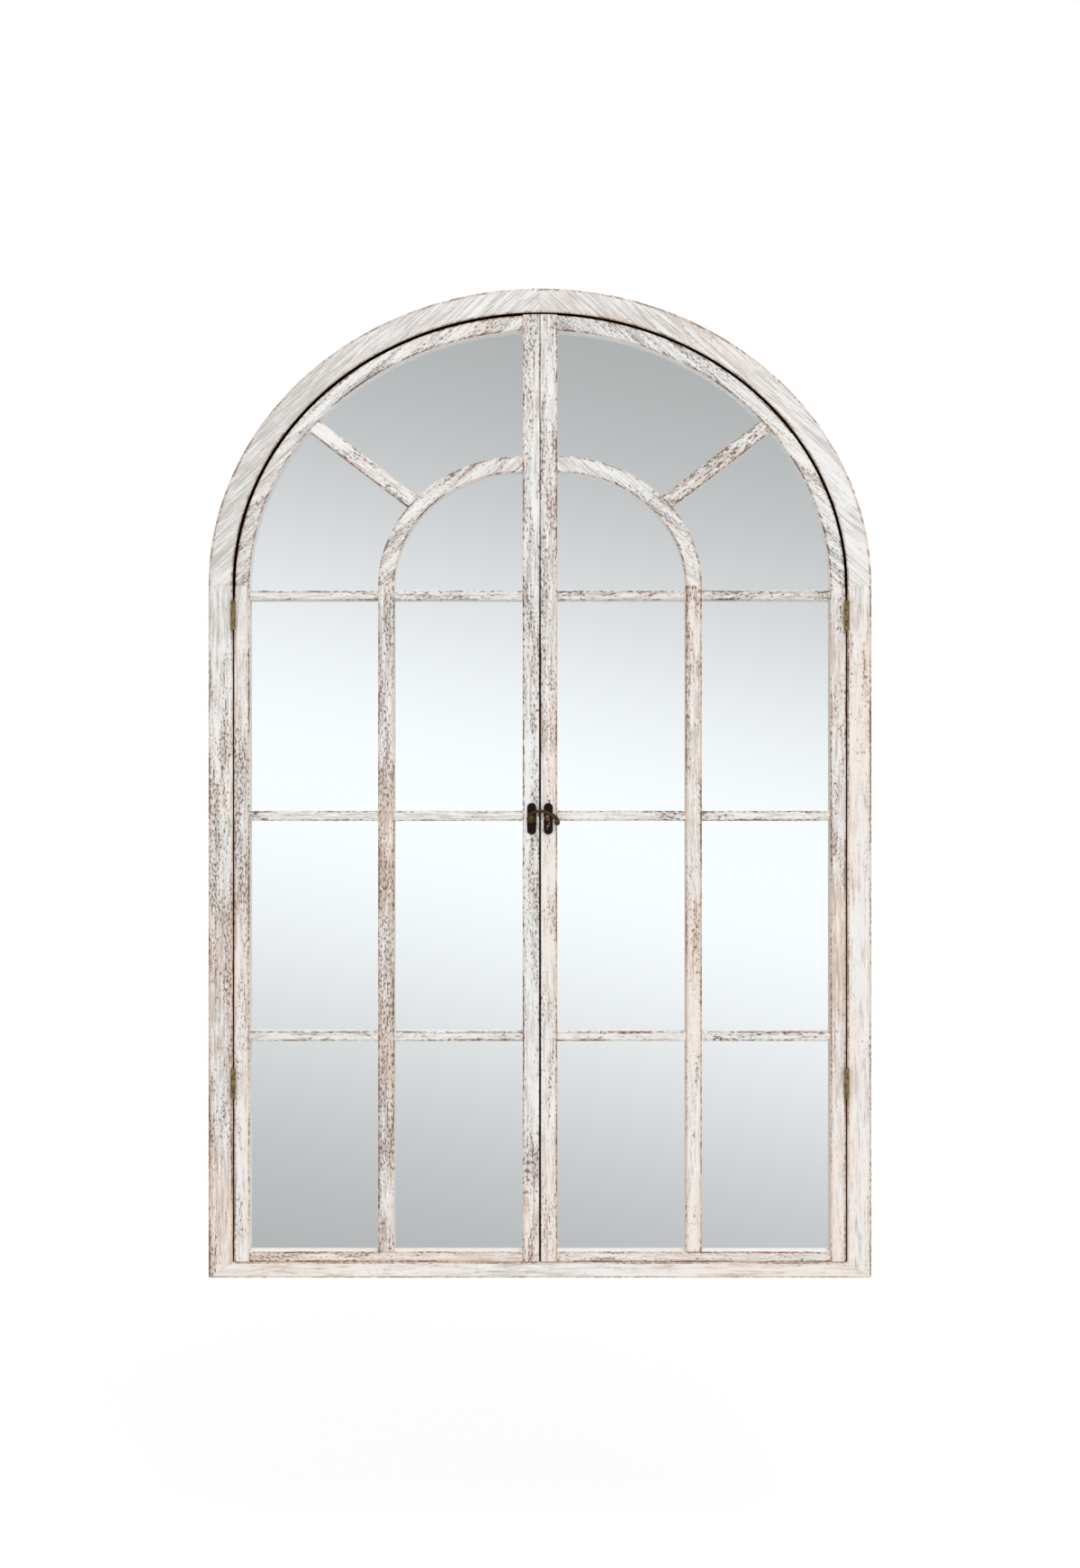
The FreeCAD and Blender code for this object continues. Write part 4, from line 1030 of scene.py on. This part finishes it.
camera = placed("camera", bpy.data.cameras.new("camera"))
camera.data.sensor_width = LONG_SIDE_SENSOR
camera.data.lens = LONG_SIDE_SENSOR * VIEW_DISTANCE / LONG_SIDE_VIEW
camera.location = (0.0, FRONT * MM - VIEW_DISTANCE, FOOT + VIEW_HEIGHT)
camera.rotation_euler = (math.pi / 2, 0.0, 0.0)
bpy.context.scene.camera = camera

floor_mesh = bpy.data.meshes.new("floor")
floor_corners = [
    (-FLOOR_SIDE, FLOOR_NEAR, 0),
    (FLOOR_SIDE, FLOOR_NEAR, 0),
    (FLOOR_SIDE, FLOOR_FAR, 0),
    (-FLOOR_SIDE, FLOOR_FAR, 0),
]
floor_mesh.from_pydata(floor_corners, [], [(0, 1, 2, 3)])
floor = placed("floor", floor_mesh)
floor.location.z = FOOT - FLOOR_DROP
floor_finish, floor_wire, floor_shader = finish("pale_floor")
floor_mesh.materials.append(floor_finish)
floor_finish.node_tree.nodes.remove(floor_shader)
matt = floor_wire.add("ShaderNodeBsdfDiffuse", {}, {"Color": MATT_WHITE})
glow = floor_wire.add("ShaderNodeEmission", {}, {"Color": WHITE, "Strength": FLOOR_GLOW})
ray = floor_wire.add("ShaderNodeLightPath", {}, {}, "Is Camera Ray")
floor_mix = floor_wire.add("ShaderNodeMixShader", {}, {0: ray * FLOOR_GLOW_SHARE, 1: matt, 2: glow})
floor_out = floor_finish.node_tree.nodes["Material Output"]
floor_finish.node_tree.links.new(floor_mix.socket, floor_out.inputs["Surface"])

lamp = placed("softbox", bpy.data.lights.new("softbox", "AREA"))
lamp.data.shape = "RECTANGLE"
lamp.data.size, lamp.data.size_y = LAMP_WIDTH, LAMP_HEIGHT
lamp.data.energy = LAMP_POWER
lamp.location = LAMP_PLACE
lamp.rotation_euler = (LAMP_AIM - LAMP_PLACE).to_track_quat("-Z", "Y").to_euler()

world = bpy.data.worlds.new("surround")
bpy.context.scene.world = world
world.use_nodes = True
sky = Wire(world.node_tree)
aim = sky.add("ShaderNodeTexCoord", {}, {}, "Generated")
aim_x = sky.add("ShaderNodeSeparateXYZ", {}, {"Vector": aim}, "X")
aim_z = sky.add("ShaderNodeSeparateXYZ", {}, {"Vector": aim}, "Z")
band = aim_z + aim_x * BAND_TILT + BAND_DROP
band_light = math.e ** (band * band * -BAND_FALL)
seen = sky.add("ShaderNodeLightPath", {}, {}, "Is Camera Ray")
shine = sky.add("ShaderNodeLightPath", {}, {}, "Is Glossy Ray")
reflected = band_light.layer(BAND_FAR, BAND_MIDDLE)
unseen = shine.layer(EVEN_LIGHT, reflected)
surround = seen.layer(unseen, WHITE)
backdrop = world.node_tree.nodes["Background"]
world.node_tree.links.new(surround.socket, backdrop.inputs["Color"])

bpy.context.scene.view_settings.view_transform = "Standard"
